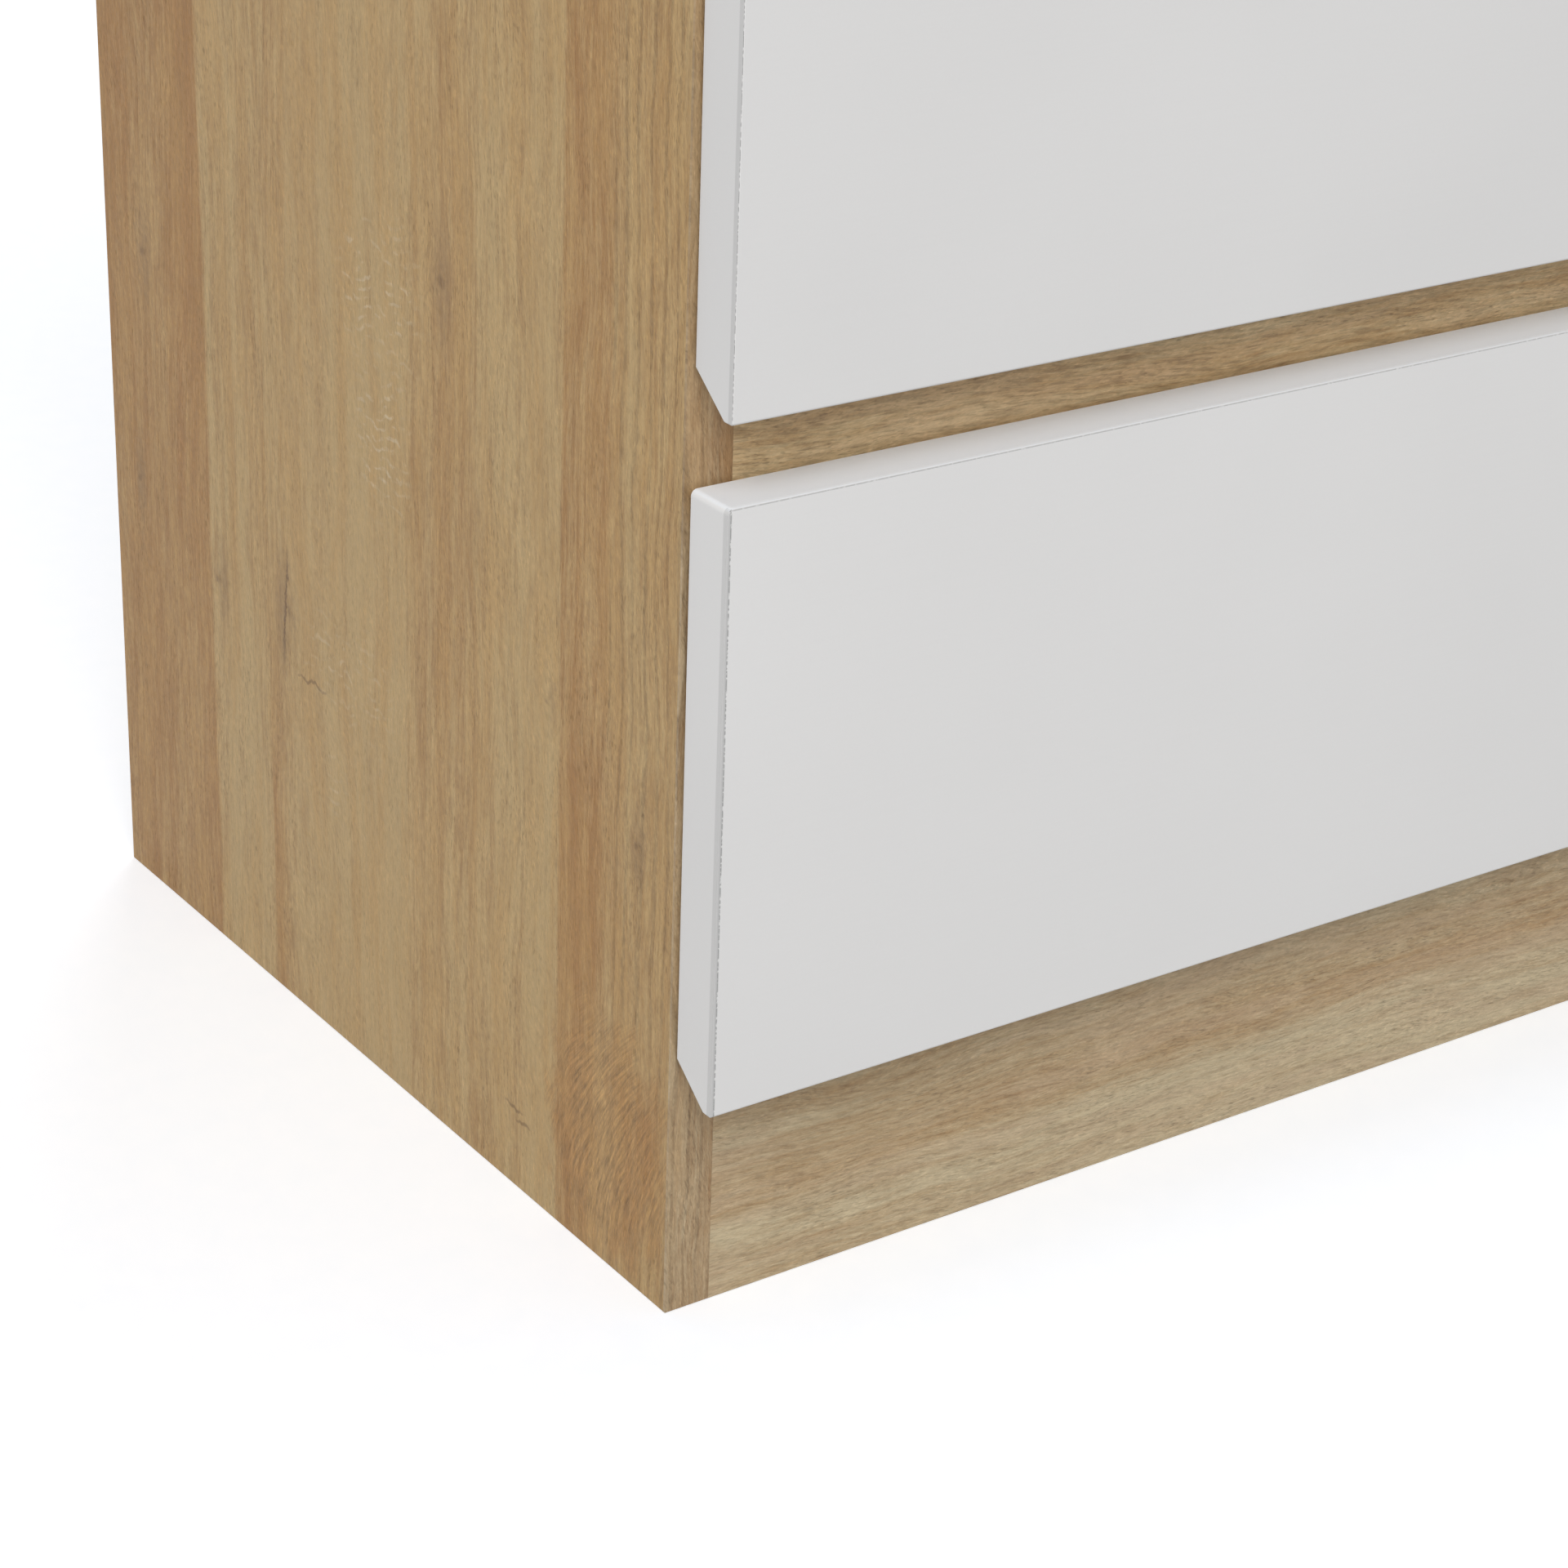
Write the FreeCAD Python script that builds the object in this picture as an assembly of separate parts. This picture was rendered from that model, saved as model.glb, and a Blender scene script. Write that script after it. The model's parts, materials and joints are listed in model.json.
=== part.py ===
"""Bathroom vanity: an oak-faced drawer cabinet with white handle-less fronts and an oval vessel basin.

Millimetres. +X is the right-hand side seen from the front, +Y points to the wall, +Z is up.
The origin is on the floor, under the centre of the benchtop.
"""

import FreeCAD
import Part
import math
import os

V = FreeCAD.Vector
X_AXIS, Y_AXIS, Z_AXIS = V(1, 0, 0), V(0, 1, 0), V(0, 0, 1)

# --- cabinet ------------------------------------------------------------------------------------------
CABINET_WIDTH = 886.0
CARCASS_DEPTH = 369.6
CARCASS_HEIGHT = 725.0
BOARD = 16.0                       # laminated board: sides, base, rails and plinth
EDGE_BAND = 1.0                    # strip glued over the raw front edges of the sides
TOP_WIDTH, TOP_DEPTH, TOP_THICK = 900.0, 400.0, 25.0
TOP_CORNER_RADIUS, TOP_EDGE_RADIUS = 4.0, 2.0
PLINTH_HEIGHT = 70.0
RAIL_HEIGHT = 60.0
BACK_THICK = 5.0
SERVICES_HALF_WIDTH = 110.0        # half of the gap between the two back panels, for the pipes

BACK_Y = TOP_DEPTH / 2             # the plane that stands against the wall
FRONT_Y = BACK_Y - CARCASS_DEPTH   # front edges of the sides, the rails and the plinth
SIDE_OUT = CABINET_WIDTH / 2
SIDE_IN = SIDE_OUT - BOARD
TOP_Z = CARCASS_HEIGHT + TOP_THICK

# --- drawer fronts ------------------------------------------------------------------------------------
FRONT_THICK = 18.3
FRONT_HEIGHT = 191.4
FRONT_BOTTOM = 78.4                # underside of the lowest front
FRONT_GAP = 23.9                   # the reveal between two fronts
FRONT_INSET = 1.3                  # from the outer face of the side to the end of the front
BUMPER = 2.0                       # the fronts close on clear bumpers of this thickness
GRIP_HEIGHT, GRIP_LAND = 11.6, 3.7  # the bevel behind the lower edge that the fingers pull on
CORNER_RADIUS, LIP_RADIUS, FACE_RADIUS = 2.0, 0.8, 0.4
FRONT_BACK_Y = FRONT_Y - BUMPER
FRONT_FACE_Y = FRONT_BACK_Y - FRONT_THICK

# --- drawer boxes and runners -------------------------------------------------------------------------
RUNNER_WIDTH = 12.7                # space that a ball-bearing runner takes beside the box
RUNNER_LENGTH = 325.0
RUNNER_SHEET, RUNNER_HOLE_RADIUS = 1.2, 2.0
RUNNER_ABOVE_BOX = 45.0            # runner's centre line above the underside of the box
BOX_BOARD = 14.0
BOX_BOTTOM = 6.0
BOX_LENGTH = 340.0
BOX_OUT = SIDE_IN - RUNNER_WIDTH
BOX_BACK_Y = FRONT_BACK_Y + BOX_LENGTH
BACK_LOWER = 12.0                  # the backs are this much lower than the sides
GROOVE_DEPTH, GROOVE_UP = 7.0, 10.0  # the bottom sits in a groove this deep, this far above the lower edge
FRONT_SCREW_X = (-330.0, -130.0, 130.0, 330.0)
FRONT_SCREW_BITE = 11.0            # how far those screws reach into the front
WELL_HALF_WIDTH, WELL_BOARD = 60.0, 12.0  # the top drawer's recess round the trap

FRONT_PITCH = FRONT_HEIGHT + FRONT_GAP
DRAWERS = {                        # name: (underside of its front, underside and height of its box,
    #                                       how far its front is adjusted sideways)
    "lower": (FRONT_BOTTOM, 100.0, 136.0, -0.35),
    "middle": (FRONT_BOTTOM + FRONT_PITCH, 323.0, 130.0, 0.25),
    "top": (FRONT_BOTTOM + 2 * FRONT_PITCH, 538.0, 116.0, 0.0),
}

# --- basin, waste and trap ----------------------------------------------------------------------------
BASIN_Y = -28.0
BASIN_HALF_DEPTH, BASIN_HALF_WIDTH, BASIN_HEIGHT = 160.0, 225.0, 130.0
BASIN_FLOOR = 20.0                 # inside bottom above the benchtop
BASIN_WALL = 9.0
FOOT_OUT, FOOT_IN, FOOT_HEIGHT = 78.0, 68.0, 7.0   # the ring that the basin stands on, before stretching
SEAL_OUT, SEAL_IN = 62.0, 58.0     # the rubber ring inside the foot
DRAIN_RADIUS = 22.5
DRAIN_SEAT_RADIUS, DRAIN_SEAT_DEPTH = 33.0, 3.5
DRAIN_SEAT_Z = TOP_Z + BASIN_FLOOR - DRAIN_SEAT_DEPTH
WASTE_TUBE_RADIUS = 21.0
WASTE_TAIL_Z = TOP_Z - 75.0        # lower end of the waste, where the trap hangs
NUT_CLEARANCE = 0.1                # between a nut or washer and the tube it is on
TRAP_OUTLET_Z = 612.0
PIPE_RADIUS, PIPE_WALL = 16.0, 1.8
OUTLET_RADIUS, OUTLET_WALL = 20.0, 2.2
CUP_GRIPS = 16

# --- tap ----------------------------------------------------------------------------------------------
TAP_Y = 165.0
TAP_RADIUS = 20.0
TAP_HOLE_RADIUS = 17.5             # the hole through the benchtop
TAP_PIVOT_Z = TOP_Z + 252.0
TAP_SPOUT_Z = TOP_Z + 205.0
TAP_REACH = 136.0                  # from the column's axis to the outlet
DOME_RADIUS = 17.5
SPOUT_RADIUS = 12.0
BASE_RING_RADIUS, BASE_RING_HEIGHT = 24.0, 4.0
CARTRIDGE_BORE, CARTRIDGE_RADIUS = 11.0, 10.95
PIN_RADIUS = 1.5                   # the cross pin that the lever tilts on
STUD_OFFSET, STUD_SOCKET, STUD_RADIUS = 9.0, 4.0, 3.95   # the fixing stud, in front of the column's axis
HOSE_X, HOSE_BEHIND, HOSE_RADIUS = 8.5, 3.0, 5.0         # the two hose sockets, behind the axis
LEVER_TILT = 25.0                  # full lift of the lever, in degrees

# --- screws -------------------------------------------------------------------------------------------
SHANK_RADIUS = 1.9
PILOT_RADIUS = 1.95                # of the hole a screw is driven into
PILOT_SPARE = 0.5                  # how much deeper the hole is than the screw
RUNNER_SCREW_LENGTH, BRACKET_SCREW_LENGTH = 13.0, 14.0

shapes = {}                        # node name -> list of solids
pockets = {}                       # node name -> list of shapes cut out of it at the end


def add(node, *solids):
    shapes.setdefault(node, []).extend(solids)


def pocket(node, *hollows):
    pockets.setdefault(node, []).extend(hollows)


def box(x0, x1, y0, y1, z0, z1):
    return Part.makeBox(x1 - x0, y1 - y0, z1 - z0, V(x0, y0, z0))


def rod(radius, start, direction, length):
    return Part.makeCylinder(radius, length, V(*start), direction)


def tube(outer, inner, start, direction, length):
    return rod(outer, start, direction, length).cut(rod(inner, start, direction, length))


def extrude_yz(points, x0, x1):
    """A closed outline of (y, z) points pushed along X from x0 to x1."""
    wire = Part.makePolygon([V(x0, y, z) for y, z in points + points[:1]])
    return Part.Face(wire).extrude(V(x1 - x0, 0, 0))


def extrude_xz(points, y0, y1):
    """A closed outline of (x, z) points pushed along Y from y0 to y1."""
    wire = Part.makePolygon([V(x, y0, z) for x, z in points + points[:1]])
    return Part.Face(wire).extrude(V(0, y1 - y0, 0))


def turned(points, centre_y, base_z):
    """A closed outline of (radius, height) points turned about a vertical axis at x = 0."""
    wire = Part.makePolygon([V(r, centre_y, base_z + z) for r, z in points + points[:1]])
    return Part.Face(wire).revolve(V(0, centre_y, 0), Z_AXIS, 360)


def edges_where(shape, test):
    """The straight or round edges whose middle point passes the test."""
    return [e for e in shape.Edges if test(e.valueAt((e.FirstParameter + e.LastParameter) / 2))]


def screw(at, direction, length, head_radius=3.6, head_height=2.0, shank_radius=SHANK_RADIUS):
    """A pan-head screw with a cross recess: `at` is under its head, direction is the way it is driven."""
    head = rod(head_radius, at, direction * -1, head_height)
    top_circle = [e for e in head.Edges if e.Curve.TypeId == "Part::GeomCircle"
                  and (e.Curve.Center - V(*at)).Length > head_height / 2]
    head = head.makeFillet(head_height * 0.45, top_circle)
    tip_length = shank_radius * 1.6
    shank = rod(shank_radius, at, direction, length - tip_length)
    tip_start = V(*at) + direction * (length - tip_length)
    tip = Part.makeCone(shank_radius, 0.3, tip_length, tip_start, direction)
    body = head.fuse([shank, tip])
    arm, width, depth = head_radius * 0.55, head_radius * 0.2, head_height * 0.6
    side = Z_AXIS if abs(direction.z) < 0.5 else X_AXIS
    across = direction.cross(side)
    face_centre = V(*at) - direction * (head_height + 0.1)
    for along, over in ((side, across), (across, side)):
        corners = [face_centre + along * (arm * a) + over * (width * b)
                   for a, b in ((-1, -1), (1, -1), (1, 1), (-1, 1), (-1, -1))]
        body = body.cut(Part.Face(Part.makePolygon(corners)).extrude(direction * (depth + 0.1)))
    return body


# --- carcass ------------------------------------------------------------------------------------------
def make_carcass():
    """Sides, base, plinth, rails, back panels and benchtop, still without their drillings."""
    for name, sign in (("left", -1), ("right", 1)):
        inner, outer = sorted((sign * SIDE_IN, sign * SIDE_OUT))
        add(f"side_panel_{name}", box(inner, outer, FRONT_Y + EDGE_BAND, BACK_Y, 0, CARCASS_HEIGHT))
        add("edge_bands", box(inner, outer, FRONT_Y, FRONT_Y + EDGE_BAND, 0, CARCASS_HEIGHT))
        near, far = sorted((sign * SERVICES_HALF_WIDTH, sign * SIDE_IN))
        add("back_panels", box(near, far, BACK_Y - BACK_THICK, BACK_Y, PLINTH_HEIGHT, CARCASS_HEIGHT))

    add("bottom_panel", box(-SIDE_IN, SIDE_IN, FRONT_Y, BACK_Y - BACK_THICK,
                            PLINTH_HEIGHT, PLINTH_HEIGHT + BOARD))
    for node, z0, height in FRONT_RAILS:
        add(node, box(-SIDE_IN, SIDE_IN, FRONT_Y, FRONT_Y + BOARD, z0, z0 + height))
    for node, z0, height in BACK_RAILS:
        add(node, box(-SIDE_IN, SIDE_IN, BACK_RAIL_Y, BACK_RAIL_Y + BOARD, z0, z0 + height))
    for x in (-WALL_HOLE_X, WALL_HOLE_X):
        pocket("back_rail_top", rod(WALL_HOLE_RADIUS, (x, BACK_RAIL_Y - 1, WALL_HOLE_Z), Y_AXIS, BOARD + 2))

    top = box(-TOP_WIDTH / 2, TOP_WIDTH / 2, -TOP_DEPTH / 2, TOP_DEPTH / 2, CARCASS_HEIGHT, TOP_Z)
    front_corners = edges_where(top, lambda p: abs(p.z - CARCASS_HEIGHT - TOP_THICK / 2) < 1 and p.y < 0)
    top = top.makeFillet(TOP_CORNER_RADIUS, front_corners)
    upper_edges = edges_where(top, lambda p: p.z > TOP_Z - 0.01 and p.y < TOP_DEPTH / 2 - 0.01)
    add("benchtop", top.makeFillet(TOP_EDGE_RADIUS, upper_edges))
    pocket("benchtop", rod(DRAIN_RADIUS + 1.5, (0, BASIN_Y, CARCASS_HEIGHT - 1), Z_AXIS, TOP_THICK + 2))
    pocket("benchtop", rod(TAP_HOLE_RADIUS, (0, TAP_Y, CARCASS_HEIGHT - 1), Z_AXIS, TOP_THICK + 2))


LOWER_RAIL_Z = FRONT_BOTTOM + FRONT_HEIGHT + FRONT_GAP / 2 - RAIL_HEIGHT / 2
UPPER_RAIL_Z = LOWER_RAIL_Z + FRONT_PITCH
FRONT_RAILS = [
    ("plinth_board", 0.0, PLINTH_HEIGHT),
    ("front_rail_lower", LOWER_RAIL_Z, RAIL_HEIGHT),
    ("front_rail_upper", UPPER_RAIL_Z, RAIL_HEIGHT),
    ("front_rail_top", CARCASS_HEIGHT - RAIL_HEIGHT, RAIL_HEIGHT),
]
BACK_RAIL_Y = BACK_Y - BACK_THICK - BOARD
BACK_RAILS = [
    ("back_rail_bottom", PLINTH_HEIGHT + BOARD, 58.0),
    ("back_rail_top", 650.0, 58.0),
]
WALL_HOLE_X, WALL_HOLE_Z, WALL_HOLE_RADIUS = 85.0, 679.0, 4.0

DOWEL_RADIUS, DOWEL_LENGTH = 4.0, 30.0
CAM_RADIUS, CAM_DEPTH = 7.5, 12.0
CAM_FROM_END = 24.0
BOLT_RADIUS = 3.0
IN_SIDE = 11.0                     # how far dowels and cam bolts reach into a side panel
DOWEL_ABOVE, BOLT_BELOW = 15.0, 13.0  # from a rail's middle line
BASE_DOWEL_BEHIND = 32.0           # from the bolt to the dowel in the base


def make_corner_joint(board, sign, dowel_at, bolt_at, cam_face, cam_direction):
    """One dowel and one cam lock between a board's end and a side panel.

    dowel_at and bolt_at are (y, z). cam_face is the point of the cam's axis on the board's face, as (y, z).
    """
    inward = X_AXIS * -sign
    side = "side_panel_right" if sign > 0 else "side_panel_left"
    face_x = sign * SIDE_IN

    start = (face_x + sign * IN_SIDE, *dowel_at)
    add("dowels", rod(DOWEL_RADIUS, start, inward, DOWEL_LENGTH))
    clearance = rod(DOWEL_RADIUS + 0.05, (start[0] + sign * 0.5, *dowel_at), inward, DOWEL_LENGTH + 1.0)
    pocket(side, clearance)
    pocket(board, clearance)

    start = (face_x + sign * IN_SIDE, *bolt_at)
    bolt_length = IN_SIDE + CAM_FROM_END - CAM_RADIUS - 0.2
    add("cam_bolts", rod(BOLT_RADIUS, start, inward, bolt_length))
    clearance = rod(BOLT_RADIUS + 0.05, (start[0] + sign * 0.5, *bolt_at), inward, bolt_length + 0.5)
    pocket(side, clearance)
    pocket(board, clearance)

    cam_start = V(face_x - sign * CAM_FROM_END, *cam_face)
    cam = rod(CAM_RADIUS, cam_start, cam_direction, CAM_DEPTH)
    slot_across = X_AXIS.cross(cam_direction)
    for along, over in ((X_AXIS, slot_across), (slot_across, X_AXIS)):
        corners = [cam_start + along * (3.6 * a) + over * (0.8 * b)
                   for a, b in ((-1, -1), (1, -1), (1, 1), (-1, 1), (-1, -1))]
        cam = cam.cut(Part.Face(Part.makePolygon(corners)).extrude(cam_direction * 2.5))
    add("cam_locks", cam)
    pocket(board, rod(CAM_RADIUS + 0.1, cam_start, cam_direction, CAM_DEPTH + 0.5))


def make_carcass_joints():
    for sign in (-1, 1):
        for node, z0, height in FRONT_RAILS:
            middle, back_face = z0 + height / 2, FRONT_Y + BOARD
            core = FRONT_Y + BOARD / 2
            make_corner_joint(node, sign, (core, middle + DOWEL_ABOVE), (core, middle - BOLT_BELOW),
                              (back_face, middle - BOLT_BELOW), Y_AXIS * -1)
        for node, z0, height in BACK_RAILS:
            middle, core = z0 + height / 2, BACK_RAIL_Y + BOARD / 2
            make_corner_joint(node, sign, (core, middle + DOWEL_ABOVE), (core, middle - BOLT_BELOW),
                              (BACK_RAIL_Y, middle - BOLT_BELOW), Y_AXIS)
        core = PLINTH_HEIGHT + BOARD / 2
        for y in (FRONT_Y + 55, BACK_Y - 75):
            make_corner_joint("bottom_panel", sign, (y + BASE_DOWEL_BEHIND, core), (y, core),
                              (y, PLINTH_HEIGHT), Z_AXIS)


BRACKET_ARM, BRACKET_WIDTH, BRACKET_SHEET = 28.0, 20.0, 2.0
BRACKET_HOLE_RADIUS = 2.1
BRACKET_Y = (FRONT_Y + 45, 15.0, BACK_Y - 60)


def make_top_brackets():
    """Folded steel angles that hold the benchtop down, screwed into the side and the top."""
    arm, sheet = BRACKET_ARM, BRACKET_SHEET
    for sign in (-1, 1):
        side_node = "side_panel_right" if sign > 0 else "side_panel_left"
        face, inside, tip = (sign * (SIDE_IN - d) for d in (0, sheet, arm))
        top, underside, foot = (CARCASS_HEIGHT - d for d in (0, sheet, arm))
        outline = [(face, top), (tip, top), (tip, underside), (inside, underside),
                   (inside, foot), (face, foot)]
        for y in BRACKET_Y:
            bracket = extrude_xz(outline, y - BRACKET_WIDTH / 2, y + BRACKET_WIDTH / 2)
            side_at = (inside, y, CARCASS_HEIGHT - arm * 0.62)
            top_at = (face - sign * arm * 0.62, y, underside)
            for node, at, way in ((side_node, side_at, X_AXIS * sign), ("benchtop", top_at, Z_AXIS)):
                bracket = bracket.cut(rod(BRACKET_HOLE_RADIUS, at, way, sheet))
                add("cabinet_screws", screw(at, way, BRACKET_SCREW_LENGTH))
                pocket(node, rod(PILOT_RADIUS, at, way, BRACKET_SCREW_LENGTH + PILOT_SPARE))
            add("top_brackets", bracket)


BUMPER_RADIUS = 3.5


def make_bumpers():
    """Clear dots on the side panels' edges that each front closes against."""
    for front_z, _, _, _ in DRAWERS.values():
        for sign in (-1, 1):
            for z in (front_z + 30, front_z + FRONT_HEIGHT - 20):
                at = (sign * (SIDE_IN + BOARD / 2), FRONT_BACK_Y, z)
                add("bumpers", rod(BUMPER_RADIUS, at, Y_AXIS, BUMPER))


# --- drawers ------------------------------------------------------------------------------------------
def make_front(name, z0, shift):
    """A slab front with rounded upper corners, a softened face and a finger bevel behind its lower edge."""
    half = SIDE_OUT - FRONT_INSET
    top = z0 + FRONT_HEIGHT
    outline = [(FRONT_BACK_Y, top), (FRONT_FACE_Y, top), (FRONT_FACE_Y, z0),
               (FRONT_FACE_Y + GRIP_LAND, z0), (FRONT_BACK_Y, z0 + GRIP_HEIGHT)]
    slab = extrude_yz(outline, -half, half)
    corners = edges_where(slab, lambda p: abs(abs(p.x) - half) < 0.01
                          and abs(p.y - (FRONT_BACK_Y + FRONT_FACE_Y) / 2) < 0.5 and p.z > top - 0.01)
    slab = slab.makeFillet(CORNER_RADIUS, corners)
    lip = edges_where(slab, lambda p: abs(p.y - FRONT_FACE_Y) < 0.01 and abs(p.z - z0) < 0.01)
    slab = slab.makeFillet(LIP_RADIUS, lip)
    face = edges_where(slab, lambda p: abs(p.y - FRONT_FACE_Y) < 0.01 and p.z > z0 + LIP_RADIUS + 0.5)
    slab = slab.makeFillet(FACE_RADIUS, face)
    slab.translate(V(shift, 0, 0))
    add(f"front_{name}", slab)


def box_walls(name, z0, height):
    """The four walls and the bottom of a plain drawer box, with the bottom in grooves."""
    z1 = z0 + height
    inner = BOX_OUT - BOX_BOARD
    back = BOX_BACK_Y - BOX_BOARD
    for sign in (-1, 1):
        side0, side1 = sorted((sign * inner, sign * BOX_OUT))
        add(f"drawer_{name}_sides", box(side0, side1, FRONT_BACK_Y, BOX_BACK_Y, z0, z1))
    add(f"drawer_{name}_ends", box(-inner, inner, FRONT_BACK_Y, FRONT_BACK_Y + BOX_BOARD, z0, z1))
    if name == "top":
        make_trap_well(z0, z1 - BACK_LOWER, inner, back)
    else:
        add(f"drawer_{name}_ends", box(-inner, inner, back, BOX_BACK_Y, z0, z1 - BACK_LOWER))

    bottom_z = z0 + GROOVE_UP
    reach = GROOVE_DEPTH - 0.5
    bottom = box(-inner - reach, inner + reach, FRONT_BACK_Y + BOX_BOARD - reach, back + reach,
                 bottom_z, bottom_z + BOX_BOTTOM)
    groove = box(-inner - GROOVE_DEPTH, inner + GROOVE_DEPTH, FRONT_BACK_Y + BOX_BOARD - GROOVE_DEPTH,
                 back + GROOVE_DEPTH, bottom_z, bottom_z + BOX_BOTTOM)
    if name == "top":
        notch = box(-WELL_HALF_WIDTH - WELL_BOARD, WELL_HALF_WIDTH + WELL_BOARD,
                    WELL_FRONT_Y - WELL_BOARD, BOX_BACK_Y + 1, z0, z1)
        bottom = bottom.cut(notch)
    add(f"drawer_{name}_bottom", bottom)
    pocket(f"drawer_{name}_sides", groove)
    pocket(f"drawer_{name}_ends", groove)


WELL_FRONT_Y = BASIN_Y - 45.0      # inside face of the recess, clear of the trap


def make_trap_well(z0, z1, inner, back):
    """The U-shaped recess that lets the top drawer close round the trap, and the two backs beside it."""
    outer = WELL_HALF_WIDTH + WELL_BOARD
    for sign in (-1, 1):
        near, far = sorted((sign * outer, sign * inner))
        add("drawer_top_ends", box(near, far, back, BOX_BACK_Y, z0, z1))
        near, far = sorted((sign * WELL_HALF_WIDTH, sign * outer))
        add("drawer_top_well_walls", box(near, far, WELL_FRONT_Y, BOX_BACK_Y, z0, z1))
    add("drawer_top_well_walls", box(-outer, outer, WELL_FRONT_Y - WELL_BOARD, WELL_FRONT_Y, z0, z1))


def channel(side, web, flange_end, half_height, y0, z):
    """A folded steel channel along Y. web and flange_end are distances in from the side panel's face."""
    sheet = RUNNER_SHEET
    towards = 1 if flange_end > web else -1
    x_web, x_inner, x_end = (side * (SIDE_IN - d) for d in (web, web + towards * sheet, flange_end))
    h = half_height
    outline = [(x_web, z - h), (x_end, z - h), (x_end, z - h + sheet), (x_inner, z - h + sheet),
               (x_inner, z + h - sheet), (x_end, z + h - sheet), (x_end, z + h), (x_web, z + h)]
    return extrude_xz(outline, y0, y0 + RUNNER_LENGTH)


def make_runner_pair(name, box_z):
    """Full-extension runners: a cabinet member, a middle member and a drawer member on each side."""
    z = box_z + RUNNER_ABOVE_BOX
    y0 = FRONT_BACK_Y + 5
    for sign in (-1, 1):
        outer = channel(sign, 0.0, 8.6, 22.5, y0, z)
        middle = channel(sign, 2.8, 10.6, 19.6, y0, z)
        inner = channel(sign, RUNNER_WIDTH, 5.6, 16.8, y0, z)
        side_node = "side_panel_right" if sign > 0 else "side_panel_left"
        for y in (y0 + 32, y0 + RUNNER_LENGTH - 40):
            at, way = (sign * (SIDE_IN - RUNNER_SHEET), y, z), X_AXIS * sign
            outer = outer.cut(rod(RUNNER_HOLE_RADIUS, at, way, RUNNER_SHEET))
            add("cabinet_screws", screw(at, way, RUNNER_SCREW_LENGTH, head_height=1.0))
            pocket(side_node, rod(PILOT_RADIUS, at, way, RUNNER_SCREW_LENGTH + PILOT_SPARE))
            at, way = (sign * (BOX_OUT + RUNNER_SHEET), y, z), X_AXIS * -sign
            inner = inner.cut(rod(RUNNER_HOLE_RADIUS, at, way, RUNNER_SHEET))
            add(f"drawer_{name}_screws", screw(at, way, RUNNER_SCREW_LENGTH, head_height=1.6))
            pocket(f"drawer_{name}_sides", rod(PILOT_RADIUS, at, way, RUNNER_SCREW_LENGTH + PILOT_SPARE))
        add("runner_cabinet_members", outer)
        add(f"runner_middle_members_{name}", middle)
        add(f"runner_drawer_members_{name}", inner)


def make_front_screws(name, box_z, box_height):
    """Four screws from inside the box that hold its front on."""
    for x in FRONT_SCREW_X:
        at, way = (x, FRONT_BACK_Y + BOX_BOARD, box_z + box_height * 0.6), Y_AXIS * -1
        length = BOX_BOARD + FRONT_SCREW_BITE
        add(f"drawer_{name}_screws", screw(at, way, length, head_radius=4.2, head_height=2.4))
        hole = rod(PILOT_RADIUS, at, way, length + PILOT_SPARE)
        pocket(f"drawer_{name}_ends", hole)
        pocket(f"front_{name}", hole)


def make_drawers():
    for name, (front_z, box_z, box_height, shift) in DRAWERS.items():
        make_front(name, front_z, shift)
        box_walls(name, box_z, box_height)
        make_runner_pair(name, box_z)
        make_front_screws(name, box_z, box_height)


# --- basin, waste and trap ----------------------------------------------------------------------------
def bezier(*points):
    curve = Part.BezierCurve()
    curve.setPoles([V(*p) for p in points])
    return curve.toShape()


def line(a, b):
    return Part.LineSegment(V(*a), V(*b)).toShape()


def make_basin():
    """An oval bowl: a turned section stretched along X, with a foot ring and a recessed drain seat."""
    def at(r, z):
        return (r, BASIN_Y, TOP_Z + z)

    rim_out, rim_in = BASIN_HALF_DEPTH, BASIN_HALF_DEPTH - BASIN_WALL
    rim_z = BASIN_HEIGHT - BASIN_WALL / 2
    rim_middle = rim_out - BASIN_WALL / 2
    outside = bezier(at(FOOT_OUT, 0), at(120, 6), at(158, 52), at(rim_out, rim_z))
    rim = Part.Arc(V(*at(rim_out, rim_z)), V(*at(rim_middle, BASIN_HEIGHT)), V(*at(rim_in, rim_z)))
    inside = bezier(at(rim_in, rim_z), at(146, 60), at(112, BASIN_FLOOR + 4), at(24, BASIN_FLOOR))
    outline = [
        outside, rim.toShape(), inside,
        line(at(24, BASIN_FLOOR), at(0, BASIN_FLOOR)), line(at(0, BASIN_FLOOR), at(0, FOOT_HEIGHT)),
        line(at(0, FOOT_HEIGHT), at(FOOT_IN, FOOT_HEIGHT)), line(at(FOOT_IN, FOOT_HEIGHT), at(FOOT_IN, 0)),
        line(at(FOOT_IN, 0), at(FOOT_OUT, 0)),
    ]
    bowl = Part.Face(Part.Wire(outline)).revolve(V(0, BASIN_Y, 0), Z_AXIS, 360)
    stretch = FreeCAD.Matrix()
    stretch.scale(BASIN_HALF_WIDTH / BASIN_HALF_DEPTH, 1.0, 1.0)
    bowl = bowl.transformGeometry(stretch)
    bowl = bowl.cut(rod(DRAIN_RADIUS, (0, BASIN_Y, TOP_Z), Z_AXIS, 40))
    bowl = bowl.cut(rod(DRAIN_SEAT_RADIUS, (0, BASIN_Y, DRAIN_SEAT_Z), Z_AXIS, 20))
    add("basin", bowl)

    add("basin_seals", tube(SEAL_OUT, SEAL_IN, (0, BASIN_Y, TOP_Z), Z_AXIS, FOOT_HEIGHT))


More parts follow.
